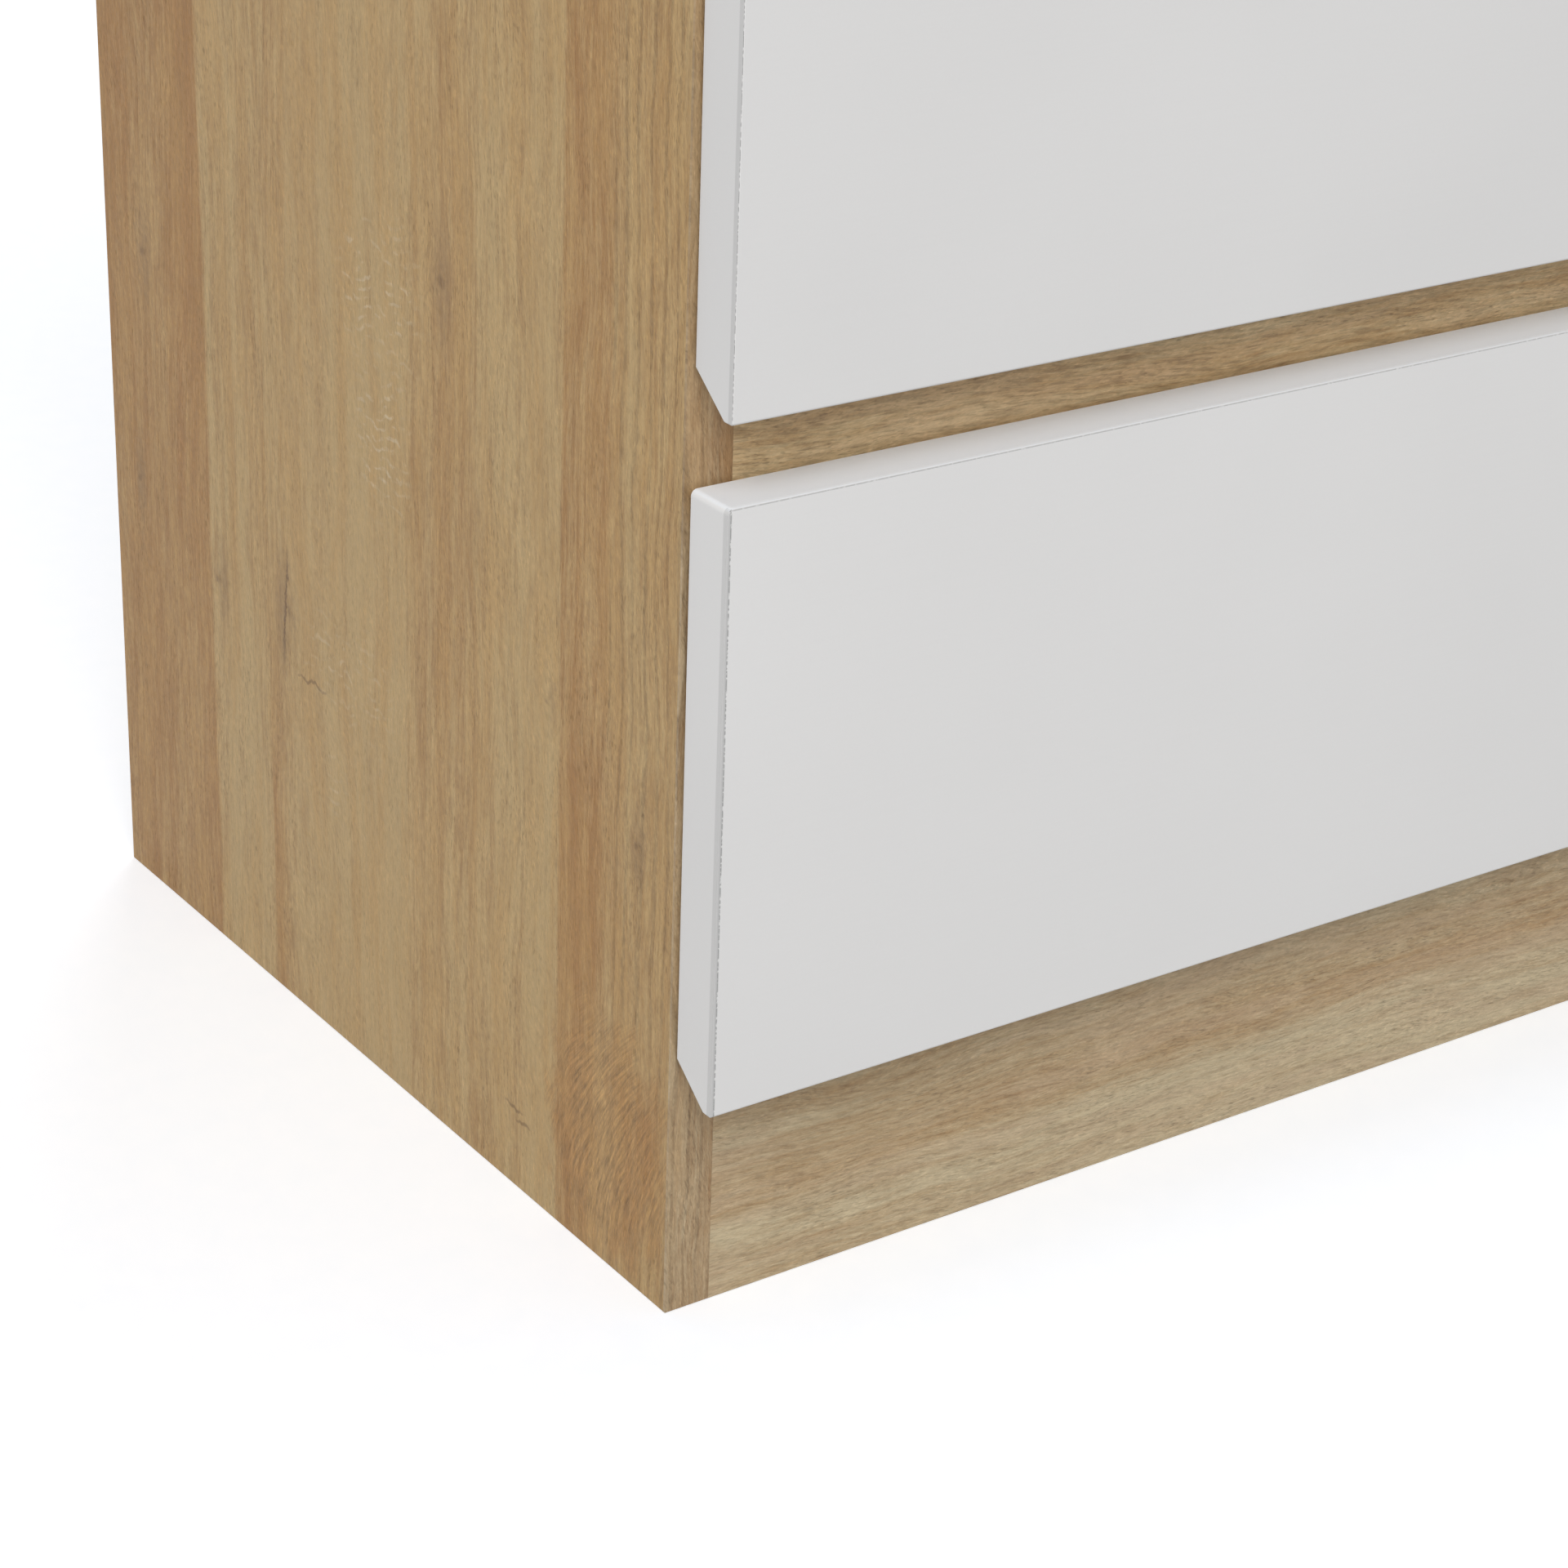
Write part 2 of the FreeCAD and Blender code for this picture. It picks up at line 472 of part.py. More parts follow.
def make_waste():
    """A push-open waste: a flanged body through basin and benchtop, its guide, plug, washer and back nut."""
    seat, length = DRAIN_SEAT_Z, DRAIN_SEAT_Z - WASTE_TAIL_Z
    flange = DRAIN_SEAT_RADIUS - 0.5
    body = turned([(16, 3), (flange, 3), (flange, 0), (WASTE_TUBE_RADIUS, 0), (WASTE_TUBE_RADIUS, -length),
                   (18.5, -length), (18.5, -6), (16, -6)], BASIN_Y, seat)
    guide_z = seat - 24
    guide = tube(7.5, 5.05, (0, BASIN_Y, guide_z), Z_AXIS, 14)
    spoke = box(-19, 19, BASIN_Y - 1.2, BASIN_Y + 1.2, guide_z + 1, guide_z + 7)
    cross = box(-1.2, 1.2, BASIN_Y - 19, BASIN_Y + 19, guide_z + 1, guide_z + 7)
    bore = rod(7.0, (0, BASIN_Y, guide_z), Z_AXIS, 14)
    add("waste_body", body.fuse([guide, spoke.fuse(cross).cut(bore)]).removeSplitter())

    plug_z = seat + 3.4
    dome = turned([(0, 0), (29.0, 0), (30.0, 1.2), (28.5, 2.6), (20.0, 4.0), (10.0, 4.7), (0, 5.0)],
                  BASIN_Y, plug_z)
    stem = rod(5.0, (0, BASIN_Y, seat - 26), Z_AXIS, plug_z - seat + 27)
    add("waste_plug", dome.fuse(stem).removeSplitter())

    under = CARCASS_HEIGHT
    hole = WASTE_TUBE_RADIUS + NUT_CLEARANCE
    add("basin_seals", tube(34.0, hole, (0, BASIN_Y, under - 4), Z_AXIS, 4))
    nut = tube(31.0, hole, (0, BASIN_Y, under - 14), Z_AXIS, 10)
    for k in range(6):
        angle = math.radians(60 * k)
        notch_at = (33 * math.cos(angle), BASIN_Y + 33 * math.sin(angle), under - 15)
        nut = nut.cut(rod(4.0, notch_at, Z_AXIS, 12))
    add("waste_nut", nut)


def grip_nut(outer, inner, start, direction, length, ribs=12):
    """A hand-tightened union nut with grip ribs along it."""
    nut = tube(outer, inner, start, direction, length)
    centre = V(*start)
    side = X_AXIS
    across = direction.cross(side)
    grooves = []
    for k in range(ribs):
        angle = 2 * math.pi * k / ribs
        offset = side * (math.cos(angle) * (outer + 1.0)) + across * (math.sin(angle) * (outer + 1.0))
        grooves.append(Part.makeCylinder(2.2, length, centre + offset, direction))
    return nut.cut(grooves)


def make_trap():
    """A bottle trap: union nuts, dip tube, bottle, screw-off cup and outlet pipe."""
    dip_top, dip_bottom = WASTE_TAIL_Z - 0.2, TRAP_OUTLET_Z - 30
    pipe_bore = PIPE_RADIUS - PIPE_WALL
    dip = tube(PIPE_RADIUS, pipe_bore, (0, BASIN_Y, dip_bottom), Z_AXIS, dip_top - 6 - dip_bottom)
    collar = tube(WASTE_TUBE_RADIUS, pipe_bore, (0, BASIN_Y, dip_top - 6), Z_AXIS, 6)
    add("trap_dip_tube", dip.fuse(collar).removeSplitter())
    nut_hole = WASTE_TUBE_RADIUS + NUT_CLEARANCE
    add("trap_nuts", grip_nut(26.0, nut_hole, (0, BASIN_Y, dip_top - 10), Z_AXIS, 26))

    shoulder = TRAP_OUTLET_Z + 27
    base = TRAP_OUTLET_Z - 38
    bottle = turned([(16.3, shoulder), (22.0, shoulder), (30.5, shoulder - 9), (30.5, base), (28.0, base),
                     (28.0, shoulder - 10), (20.0, shoulder - 3), (16.3, shoulder - 3)], BASIN_Y, 0)
    outlet_start = BASIN_Y + 22
    outlet_face = BASIN_Y + 48
    port = rod(OUTLET_RADIUS + 2.5, (0, outlet_start, TRAP_OUTLET_Z), Y_AXIS, outlet_face - outlet_start)
    port = port.cut(rod(28.0, (0, BASIN_Y, base), Z_AXIS, shoulder - base))
    bore = rod(OUTLET_RADIUS - OUTLET_WALL, (0, BASIN_Y, TRAP_OUTLET_Z), Y_AXIS, 60)
    add("trap_bottle", bottle.fuse(port).cut(bore))

    cup = turned([(0, -17), (27.0, -17), (33.0, -12), (33.0, 8), (30.7, 8), (30.7, -0.2),
                  (27.5, -0.2), (27.5, -10), (24.0, -13), (0, -13)], BASIN_Y, base)
    grips = []
    for k in range(CUP_GRIPS):
        angle = 2 * math.pi * k / CUP_GRIPS
        grip_at = (33.8 * math.cos(angle), BASIN_Y + 33.8 * math.sin(angle), base - 12)
        grips.append(rod(1.6, grip_at, Z_AXIS, 21))
    add("trap_cup", cup.cut(grips))

    pipe_start = outlet_face + 0.2
    nut_end = outlet_face + 9
    pipe = rod(OUTLET_RADIUS, (0, nut_end, TRAP_OUTLET_Z), Y_AXIS, BACK_Y - nut_end)
    collar = rod(OUTLET_RADIUS + 1, (0, pipe_start, TRAP_OUTLET_Z), Y_AXIS, nut_end - pipe_start)
    hollow = rod(OUTLET_RADIUS - OUTLET_WALL, (0, pipe_start, TRAP_OUTLET_Z), Y_AXIS, BACK_Y - pipe_start)
    add("trap_outlet_pipe", pipe.fuse(collar).cut(hollow))
    nut_out = OUTLET_RADIUS + 6.5
    nut = grip_nut(nut_out, OUTLET_RADIUS + 2.6, (0, outlet_face - 14, TRAP_OUTLET_Z), Y_AXIS, 16)
    end_ring = tube(nut_out, OUTLET_RADIUS + 1.1, (0, outlet_face + 2, TRAP_OUTLET_Z), Y_AXIS, 7)
    add("trap_nuts", nut.fuse(end_ring))


# --- tap ----------------------------------------------------------------------------------------------
def make_tap_body():
    """The column with its dome, straight spout, aerator socket, cartridge bore and hose sockets."""
    shoulder = TAP_PIVOT_Z - 5.4
    base = TOP_Z + BASE_RING_HEIGHT
    column = rod(TAP_RADIUS, (0, TAP_Y, base), Z_AXIS, shoulder - base)
    dome = Part.makeSphere(DOME_RADIUS, V(0, TAP_Y, TAP_PIVOT_Z))
    keep = rod(DOME_RADIUS, (0, TAP_Y, shoulder - 2), Z_AXIS, 2 + 5.4 + 11.5)
    spout_end = TAP_Y - TAP_REACH - 14
    spout = rod(SPOUT_RADIUS, (0, spout_end, TAP_SPOUT_Z), Y_AXIS, TAP_Y - spout_end)
    tip = edges_where(spout, lambda p: p.y < spout_end + 0.01)
    spout = spout.makeFillet(3.5, tip)
    outlet_y = TAP_Y - TAP_REACH
    boss = rod(11.4, (0, outlet_y, TAP_SPOUT_Z - 15), Z_AXIS, 15)
    body = column.fuse([dome.common(keep), spout, boss])
    body = body.cut([
        rod(CARTRIDGE_BORE, (0, TAP_Y, TAP_PIVOT_Z - 14), Z_AXIS, 30),
        rod(9.6, (0, outlet_y, TAP_SPOUT_Z - 15), Z_AXIS, 9),
        rod(STUD_SOCKET, (0, TAP_Y - STUD_OFFSET, base), Z_AXIS, 12),
        rod(HOSE_RADIUS, (-HOSE_X, TAP_Y + HOSE_BEHIND, base), Z_AXIS, 14),
        rod(HOSE_RADIUS, (HOSE_X, TAP_Y + HOSE_BEHIND, base), Z_AXIS, 14),
    ])
    add("tap_body", body)

    ring = tube(BASE_RING_RADIUS, 17.0, (0, TAP_Y, TOP_Z), Z_AXIS, BASE_RING_HEIGHT)
    upper = edges_where(ring, lambda p: p.z > base - 0.1
                        and abs(math.hypot(p.x, p.y - TAP_Y) - BASE_RING_RADIUS) < 0.1)
    add("tap_base_ring", ring.makeFillet(1.5, upper))

    aerator = tube(9.5, 7.4, (0, outlet_y, TAP_SPOUT_Z - 16.5), Z_AXIS, 10)
    mesh = rod(7.4, (0, outlet_y, TAP_SPOUT_Z - 14), Z_AXIS, 3)
    step = 3.1
    holes = []
    for row in range(-2, 3):
        for col in range(-2, 3):
            x, y = step * (col + 0.5 * (row % 2)), step * 0.87 * row
            if math.hypot(x, y) < 6.4:
                holes.append(rod(1.1, (x, outlet_y + y, TAP_SPOUT_Z - 15), Z_AXIS, 5))
    add("tap_aerator", aerator.fuse(mesh.cut(holes)).removeSplitter())


def make_tap_fixing():
    """What clamps the tap under the benchtop: a stud, a horseshoe washer and a brass nut."""
    stud_y = TAP_Y - STUD_OFFSET
    stud_bottom = CARCASS_HEIGHT - 18
    add("tap_fixing", rod(STUD_RADIUS, (0, stud_y, stud_bottom), Z_AXIS, TOP_Z + 15.5 - stud_bottom))
    rubber, steel = CARCASS_HEIGHT - 3, CARCASS_HEIGHT - 5
    for z0, z1, radius in ((rubber, CARCASS_HEIGHT, 23.0), (steel, rubber, 22.0)):
        plate = rod(radius, (0, TAP_Y, z0), Z_AXIS, z1 - z0)
        plate = plate.cut(box(-15, 15, TAP_Y - 3.5, TAP_Y + 30, z0 - 1, z1 + 1))
        plate = plate.cut(rod(4.1, (0, stud_y, z0 - 1), Z_AXIS, z1 - z0 + 2))
        add("tap_fixing", plate)
    corners = [V(7.5 * math.cos(math.radians(60 * k)), stud_y + 7.5 * math.sin(math.radians(60 * k)),
                 CARCASS_HEIGHT - 13) for k in range(7)]
    nut = Part.Face(Part.makePolygon(corners)).extrude(V(0, 0, 8))
    add("tap_fixing", nut.cut(rod(4.0, (0, stud_y, CARCASS_HEIGHT - 14), Z_AXIS, 10)))


def make_tap_handle():
    """The mixing cartridge's turning core, its cross pin, and the lever that tilts on that pin."""
    core = rod(CARTRIDGE_RADIUS, (0, TAP_Y, TAP_PIVOT_Z - 13.9), Z_AXIS, 21.9)
    core = core.cut(box(-2.8, 2.8, TAP_Y - 12, TAP_Y + 12, TAP_PIVOT_Z - 6.5, TAP_PIVOT_Z + 9))
    core = core.cut(rod(PIN_RADIUS, (-12, TAP_Y, TAP_PIVOT_Z), X_AXIS, 24))
    add("tap_cartridge", core, rod(PIN_RADIUS, (-9.5, TAP_Y, TAP_PIVOT_Z), X_AXIS, 19))

    cap = rod(TAP_RADIUS, (0, TAP_Y, TAP_PIVOT_Z - 9), Z_AXIS, 32)
    crown = edges_where(cap, lambda p: p.z > TAP_PIVOT_Z + 22.9)
    cap = cap.makeFillet(4.0, crown)
    hollow = Part.makeSphere(DOME_RADIUS + 0.6, V(0, TAP_Y, TAP_PIVOT_Z))
    cap = cap.cut(hollow)
    under = Part.makeBox(60, 60, 30, V(-30, -30, -30))
    under.rotate(V(0, 0, 0), X_AXIS, LEVER_TILT / 2)
    under.translate(V(0, TAP_Y, TAP_PIVOT_Z))
    cap = cap.cut(under)
    tang = box(-2.5, 2.5, TAP_Y - 4.5, TAP_Y + 4.5, TAP_PIVOT_Z, TAP_PIVOT_Z + 19.5)
    knuckle = rod(4.5, (-2.5, TAP_Y, TAP_PIVOT_Z), X_AXIS, 5)
    lever = extrude_yz([(TAP_Y - 15, TAP_PIVOT_Z + 9), (TAP_Y - 15, TAP_PIVOT_Z + 19),
                        (TAP_Y - 104, TAP_PIVOT_Z + 33), (TAP_Y - 105, TAP_PIVOT_Z + 29)], -7, 7)
    long_edges = edges_where(lever, lambda p: abs(abs(p.x) - 7) < 0.01 and TAP_Y - 100 < p.y < TAP_Y - 20)
    lever = lever.makeFillet(1.6, long_edges)
    lever = lever.cut(hollow)
    pin_hole = rod(PIN_RADIUS + 0.06, (-12, TAP_Y, TAP_PIVOT_Z), X_AXIS, 24)
    handle = cap.fuse([tang, knuckle, lever]).cut(pin_hole)
    add("tap_lever", handle)


def export_all():
    os.makedirs("parts", exist_ok=True)
    for node, solids in shapes.items():
        hollows = pockets.get(node)
        cut = [s.cut(hollows) for s in solids] if hollows else solids
        pieces = [piece for s in cut for piece in s.Solids]
        shape = pieces[0] if len(pieces) == 1 else Part.makeCompound(pieces)
        if not shape.isValid() or len(pieces) != len(solids):
            print("check", node, "valid", shape.isValid(), "solids", len(pieces), "of", len(solids))
        shape.exportStep(f"parts/{node}.step")


make_carcass()
make_carcass_joints()
make_top_brackets()
make_bumpers()
make_drawers()
make_basin()
make_waste()
make_trap()
make_tap_body()
make_tap_fixing()
make_tap_handle()
export_all()
print(len(shapes), "nodes,", sum(len(s) for s in shapes.values()), "solids")
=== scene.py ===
"""The looks of the vanity: camera, studio and one procedural material per finish."""
import json
import math

import bmesh
import bpy
from mathutils import Matrix, Vector

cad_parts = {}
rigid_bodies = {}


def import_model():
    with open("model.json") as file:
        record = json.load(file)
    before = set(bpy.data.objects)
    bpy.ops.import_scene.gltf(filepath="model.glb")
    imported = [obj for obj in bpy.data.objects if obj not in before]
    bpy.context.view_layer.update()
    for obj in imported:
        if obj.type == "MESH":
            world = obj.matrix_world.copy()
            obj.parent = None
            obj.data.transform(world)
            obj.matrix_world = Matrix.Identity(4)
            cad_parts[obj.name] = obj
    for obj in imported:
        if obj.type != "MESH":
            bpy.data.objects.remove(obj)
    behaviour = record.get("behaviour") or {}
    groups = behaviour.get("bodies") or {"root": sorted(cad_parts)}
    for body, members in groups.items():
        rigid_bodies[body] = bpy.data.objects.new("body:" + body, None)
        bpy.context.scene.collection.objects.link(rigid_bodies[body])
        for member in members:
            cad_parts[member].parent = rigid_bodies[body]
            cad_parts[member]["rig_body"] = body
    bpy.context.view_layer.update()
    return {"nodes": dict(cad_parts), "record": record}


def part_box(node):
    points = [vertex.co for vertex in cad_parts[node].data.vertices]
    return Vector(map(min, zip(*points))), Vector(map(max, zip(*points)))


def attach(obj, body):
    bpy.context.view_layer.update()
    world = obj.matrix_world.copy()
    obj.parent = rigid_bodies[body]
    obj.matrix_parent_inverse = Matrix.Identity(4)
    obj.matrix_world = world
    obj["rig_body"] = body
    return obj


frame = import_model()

NODES = frame["nodes"]
MM = 0.001

# --- colours, as seen in plain daylight (0 to 255) ---------------------------------------------------------------
OAK_LIGHT, OAK_DARK = (196, 171, 135), (172, 131, 87)
OAK_ORANGE, OAK_PINK = (191, 155, 109), (192, 160, 126)
OAK_PALE, OAK_SMEAR, OAK_KNOT = (210, 190, 154), (150, 118, 80), (104, 74, 44)
SIDE_TINT, EDGE_TINT = (0.945, 0.888, 0.692), (0.90, 0.93, 0.96)
# the benchtop tint is darker than the sides' to even out the stronger light on its top: painted shade
# the rail tint is lifted above the other oak tints to lighten the rails, which sit in shade between the fronts:
# painted light
FRONT_TINT, RAIL_TINT_PAINTED_LIGHTER, TOP_TINT_PAINTED_DARKER = (1.06, 1.165, 1.24), (1.21, 1.28, 1.255), (0.86, 0.845, 0.79)
PINS_PER_ROW, PIN_MARGIN, PIN_RADIUS, PIN_DOME = 6, 0.010, 0.0024, 0.0007
TAP_CAP_RADIUS, MARK_RADIUS, MARK_ANGLE, MARK_BELOW_LEVER_TIP = 0.020, 0.0019, 38, 0.020


def linear(colour):
    """A 0 to 255 display colour as Blender's linear RGBA."""
    def channel(c):
        c /= 255
        return c / 12.92 if c <= 0.04045 else ((c + 0.055) / 1.055) ** 2.4
    return (*[channel(c) for c in colour], 1.0)


# --- camera and studio -------------------------------------------------------------------------------------------
CAMERA_AZIMUTH, CAMERA_ELEVATION, CAMERA_ROLL = 35.61, 24.98, 2.12
CAMERA_OFFSET = Vector((-0.5414, -0.8085, 0.6337))   # from the cabinet's lower front left corner
CAMERA_LENS = 85.895


def make_camera():
    azimuth, elevation, roll = (math.radians(a) for a in (CAMERA_AZIMUTH, CAMERA_ELEVATION, CAMERA_ROLL))
    forward = Vector((math.sin(azimuth) * math.cos(elevation), math.cos(azimuth) * math.cos(elevation),
                      -math.sin(elevation)))
    level = Vector((math.cos(azimuth), -math.sin(azimuth), 0))
    upright = level.cross(forward)
    right = math.cos(roll) * level + math.sin(roll) * upright
    up = math.cos(roll) * upright - math.sin(roll) * level
    corner = Vector((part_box("side_panel_left")[0].x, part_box("edge_bands")[0].y, 0))
    data = bpy.data.cameras.new("camera")
    data.lens = CAMERA_LENS
    data.sensor_width = 36
    data.clip_start = 0.05
    camera = bpy.data.objects.new("camera", data)
    bpy.context.scene.collection.objects.link(camera)
    camera.matrix_world = Matrix.Translation(corner + CAMERA_OFFSET) @ Matrix((right, up, -forward)).transposed().to_4x4()
    bpy.context.scene.camera = camera


def add_area_light(name, location, target, size, watts, colour=(1, 1, 1)):
    data = bpy.data.lights.new(name, "AREA")
    data.shape = "RECTANGLE"
    data.size, data.size_y = size
    data.energy = watts
    data.color = colour
    light = bpy.data.objects.new(name, data)
    light.location = location
    light.rotation_euler = (Vector(target) - Vector(location)).to_track_quat("-Z", "Y").to_euler()
    bpy.context.scene.collection.objects.link(light)


def make_world():
    """An even white room: the camera sees it as bright as the floor, while it lights the object softly."""
    world = bpy.data.worlds.new("studio")
    world.use_nodes = True
    tree = world.node_tree
    background = tree.nodes["Background"]
    background.inputs["Strength"].default_value = 0.42
    backdrop = tree.nodes.new("ShaderNodeBackground")
    backdrop.inputs["Strength"].default_value = 1.0
    for node in (background, backdrop):
        node.inputs["Color"].default_value = (1, 1, 1, 1)
    rays = tree.nodes.new("ShaderNodeLightPath")
    mix = tree.nodes.new("ShaderNodeMixShader")
    tree.links.new(rays.outputs["Is Camera Ray"], mix.inputs[0])
    tree.links.new(background.outputs[0], mix.inputs[1])
    tree.links.new(backdrop.outputs[0], mix.inputs[2])
    tree.links.new(mix.outputs[0], tree.nodes["World Output"].inputs["Surface"])
    return world


def make_studio():
    scene = bpy.context.scene
    scene.view_settings.view_transform = "Standard"
    scene.world = make_world()
    add_area_light("key_light", (-2.05, -2.25, 2.70), (-0.3, -0.15, 0.4), (2.8, 2.8), 105)
    add_area_light("back_fill", (2.1, 2.5, 1.8), (0, 0, 0.5), (2.4, 2.0), 50)

    mesh = bpy.data.meshes.new("floor")
    half = 14.0
    mesh.from_pydata([(-half, -half, 0), (half, -half, 0), (half, half, 0), (-half, half, 0)], [], [(0, 1, 2, 3)])
    floor = bpy.data.objects.new("floor", mesh)
    floor.location.z = -0.0002
    bpy.context.scene.collection.objects.link(floor)
    paint = Shader("floor_paper")
    x, y, _ = paint.separate(paint.coordinates())
    speckle = paint.noise(paint.coordinates(), 90, detail=3)
    distance = paint.math("SQRT", paint.add(paint.times(x, x), paint.times(y, y)))
    paint.colour(paint.ramp(speckle, (0.3, linear((244, 248, 254))), (0.7, linear((247, 250, 255)))))
    paint.set("Roughness", 0.9)
    paint.set("Specular IOR Level", 0.1)
    paint.set("Emission Color", (1, 1, 1, 1))
    paint.set("Emission Strength", paint.math("MULTIPLY_ADD", paint.between(distance, 0.9, 3.6), 0.40, 0.22))
    floor.data.materials.append(paint.material)
    floor.visible_diffuse = False        # the white floor throws no light back, so the fronts keep their shading


# --- shader helper -----------------------------------------------------------------------------------------------
class Shader:
    """One material's node tree. Each call adds a node and returns its output socket."""

    def __init__(self, name):
        self.material = bpy.data.materials.new(name)
        self.material.use_nodes = True
        self.tree = self.material.node_tree
        self.tree.nodes.clear()
        self.bsdf = self.tree.nodes.new("ShaderNodeBsdfPrincipled")
        output = self.tree.nodes.new("ShaderNodeOutputMaterial")
        self.tree.links.new(self.bsdf.outputs["BSDF"], output.inputs["Surface"])

    def feed(self, socket, value):
        if isinstance(value, bpy.types.NodeSocket):
            self.tree.links.new(value, socket)
        else:
            socket.default_value = value

    def set(self, socket, value):
        self.feed(self.bsdf.inputs[socket], value)

    def colour(self, value):
        self.set("Base Color", value)

    def coordinates(self, output="Object"):
        return self.tree.nodes.new("ShaderNodeTexCoord").outputs[output]

    def separate(self, vector):
        node = self.tree.nodes.new("ShaderNodeSeparateXYZ")
        self.feed(node.inputs[0], vector)
        return node.outputs[0], node.outputs[1], node.outputs[2]

    def combine(self, x, y, z=0.0):
        node = self.tree.nodes.new("ShaderNodeCombineXYZ")
        for socket, value in zip(node.inputs, (x, y, z)):
            self.feed(socket, value)
        return node.outputs[0]

    def math(self, operation, *values, clamp=False):
        node = self.tree.nodes.new("ShaderNodeMath")
        node.operation = operation
        node.use_clamp = clamp
        for socket, value in zip(node.inputs, values):
            self.feed(socket, value)
        return node.outputs[0]

    def add(self, first, *others):
        for other in others:
            first = self.math("ADD", first, other)
        return first

    def times(self, first, *others):
        for other in others:
            first = self.math("MULTIPLY", first, other)
        return first

    def centred(self, value, span):
        """A 0 to 1 value moved to -span/2 to +span/2."""
        return self.math("MULTIPLY_ADD", value, span, -span / 2)

    def between(self, value, low, high):
        """0 below low, 1 above high, smooth in between. low above high turns it round."""
        node = self.tree.nodes.new("ShaderNodeMapRange")
        node.interpolation_type = "SMOOTHSTEP"
        start, end = (0.0, 1.0) if low < high else (1.0, 0.0)
        for socket, number in (("From Min", min(low, high)), ("From Max", max(low, high)),
                               ("To Min", start), ("To Max", end)):
            node.inputs[socket].default_value = number
        self.feed(node.inputs["Value"], value)
        return node.outputs["Result"]

    def noise(self, vector, scale=1.0, detail=2.0, roughness=0.5, distortion=0.0):
        node = self.tree.nodes.new("ShaderNodeTexNoise")
        self.feed(node.inputs["Vector"], vector)
        for socket, number in (("Scale", scale), ("Detail", detail), ("Roughness", roughness),
                               ("Distortion", distortion)):
            node.inputs[socket].default_value = number
        return node.outputs["Fac"]

    def voronoi(self, vector, scale, feature="F1", output="Distance"):
        node = self.tree.nodes.new("ShaderNodeTexVoronoi")
        node.feature = feature
        self.feed(node.inputs["Vector"], vector)
        node.inputs["Scale"].default_value = scale
        return node.outputs[output]

    def ramp(self, value, *stops, interpolation="LINEAR"):
        """A colour ramp through (position, grey or RGBA) stops."""
        node = self.tree.nodes.new("ShaderNodeValToRGB")
        node.color_ramp.interpolation = interpolation
        elements = node.color_ramp.elements
        while len(elements) < len(stops):
            elements.new(0.5)
        for element, (position, colour) in zip(elements, stops):
            element.position = position
            element.color = colour if hasattr(colour, "__len__") else (colour, colour, colour, 1)
        self.feed(node.inputs[0], value)
        return node.outputs["Color"]

    def mix(self, factor, first, second, blend="MIX"):
        node = self.tree.nodes.new("ShaderNodeMix")
        node.data_type = "RGBA"
        node.blend_type = blend
        node.clamp_factor = True
        self.feed(node.inputs[0], factor)
        self.feed(node.inputs[6], first)
        self.feed(node.inputs[7], second)
        return node.outputs[2]

    def brighten(self, colour, factor):
        node = self.tree.nodes.new("ShaderNodeVectorMath")
        node.operation = "SCALE"
        self.feed(node.inputs[0], colour)
        self.feed(node.inputs["Scale"], factor)
        return node.outputs[0]

    def bump(self, height, distance, strength=1.0):
        node = self.tree.nodes.new("ShaderNodeBump")
        node.inputs["Distance"].default_value = distance
        node.inputs["Strength"].default_value = strength
        self.feed(node.inputs["Height"], height)
        self.set("Normal", node.outputs[0])


# --- oak laminate ------------------------------------------------------------------------------------------------
class OakSheet:
    """How one laminated board is cut: its axes, its staves across the width and what grows in it.

    Lengths are millimetres. Places across the board are measured from `start`, and along it from zero.
    raw names the directions, such as "+y", whose faces are bare chipboard.
    tones are (place across, darkness) from 0 to 1; staves are the places where a new stave begins.
    """

    def __init__(self, along, across, start, width, tones, staves=(), seed=0.0, contrast=1.0, slant=0.0,
                 tint=(1.0, 1.0, 1.0), blush=OAK_ORANGE, knots=(), cracks=(), splits=(), swirls=(), lines=(),
                 rays=(), patches=(), calm=(), dashes=0.0, raw=()):
        self.along, self.across, self.start, self.width = along, across, start, width
        self.tones, self.staves, self.seed = tones, staves, seed
        self.contrast, self.slant, self.tint, self.blush = contrast, slant, tint, blush
        self.knots, self.cracks, self.splits, self.swirls = knots, cracks, splits, swirls
        self.lines, self.rays, self.patches, self.calm, self.dashes = lines, rays, patches, calm, dashes
        self.raw = raw


def blob(s, u, v, place, radius, stretch=1.0):
    """A soft round spot, 1 at its middle. stretch makes it longer along the grain."""
    du = s.math("MULTIPLY_ADD", u, 1 / radius, -place[0] / radius)
    dv = s.math("MULTIPLY_ADD", v, 1 / (radius * stretch), -place[1] / (radius * stretch))
    square = s.add(s.times(du, du), s.times(dv, dv))
    return s.math("EXPONENT", s.times(square, -1.0)), du


def tinted(colour, tint):
    """A display colour made linear and multiplied by a tint."""
    return (*[c * t for c, t in zip(linear(colour), tint)], 1.0)


def strongest(s, masks):
    """The largest of several masks, or None."""
    result = None
    for mask in masks:
        result = mask if result is None else s.math("MAXIMUM", result, mask)
    return result


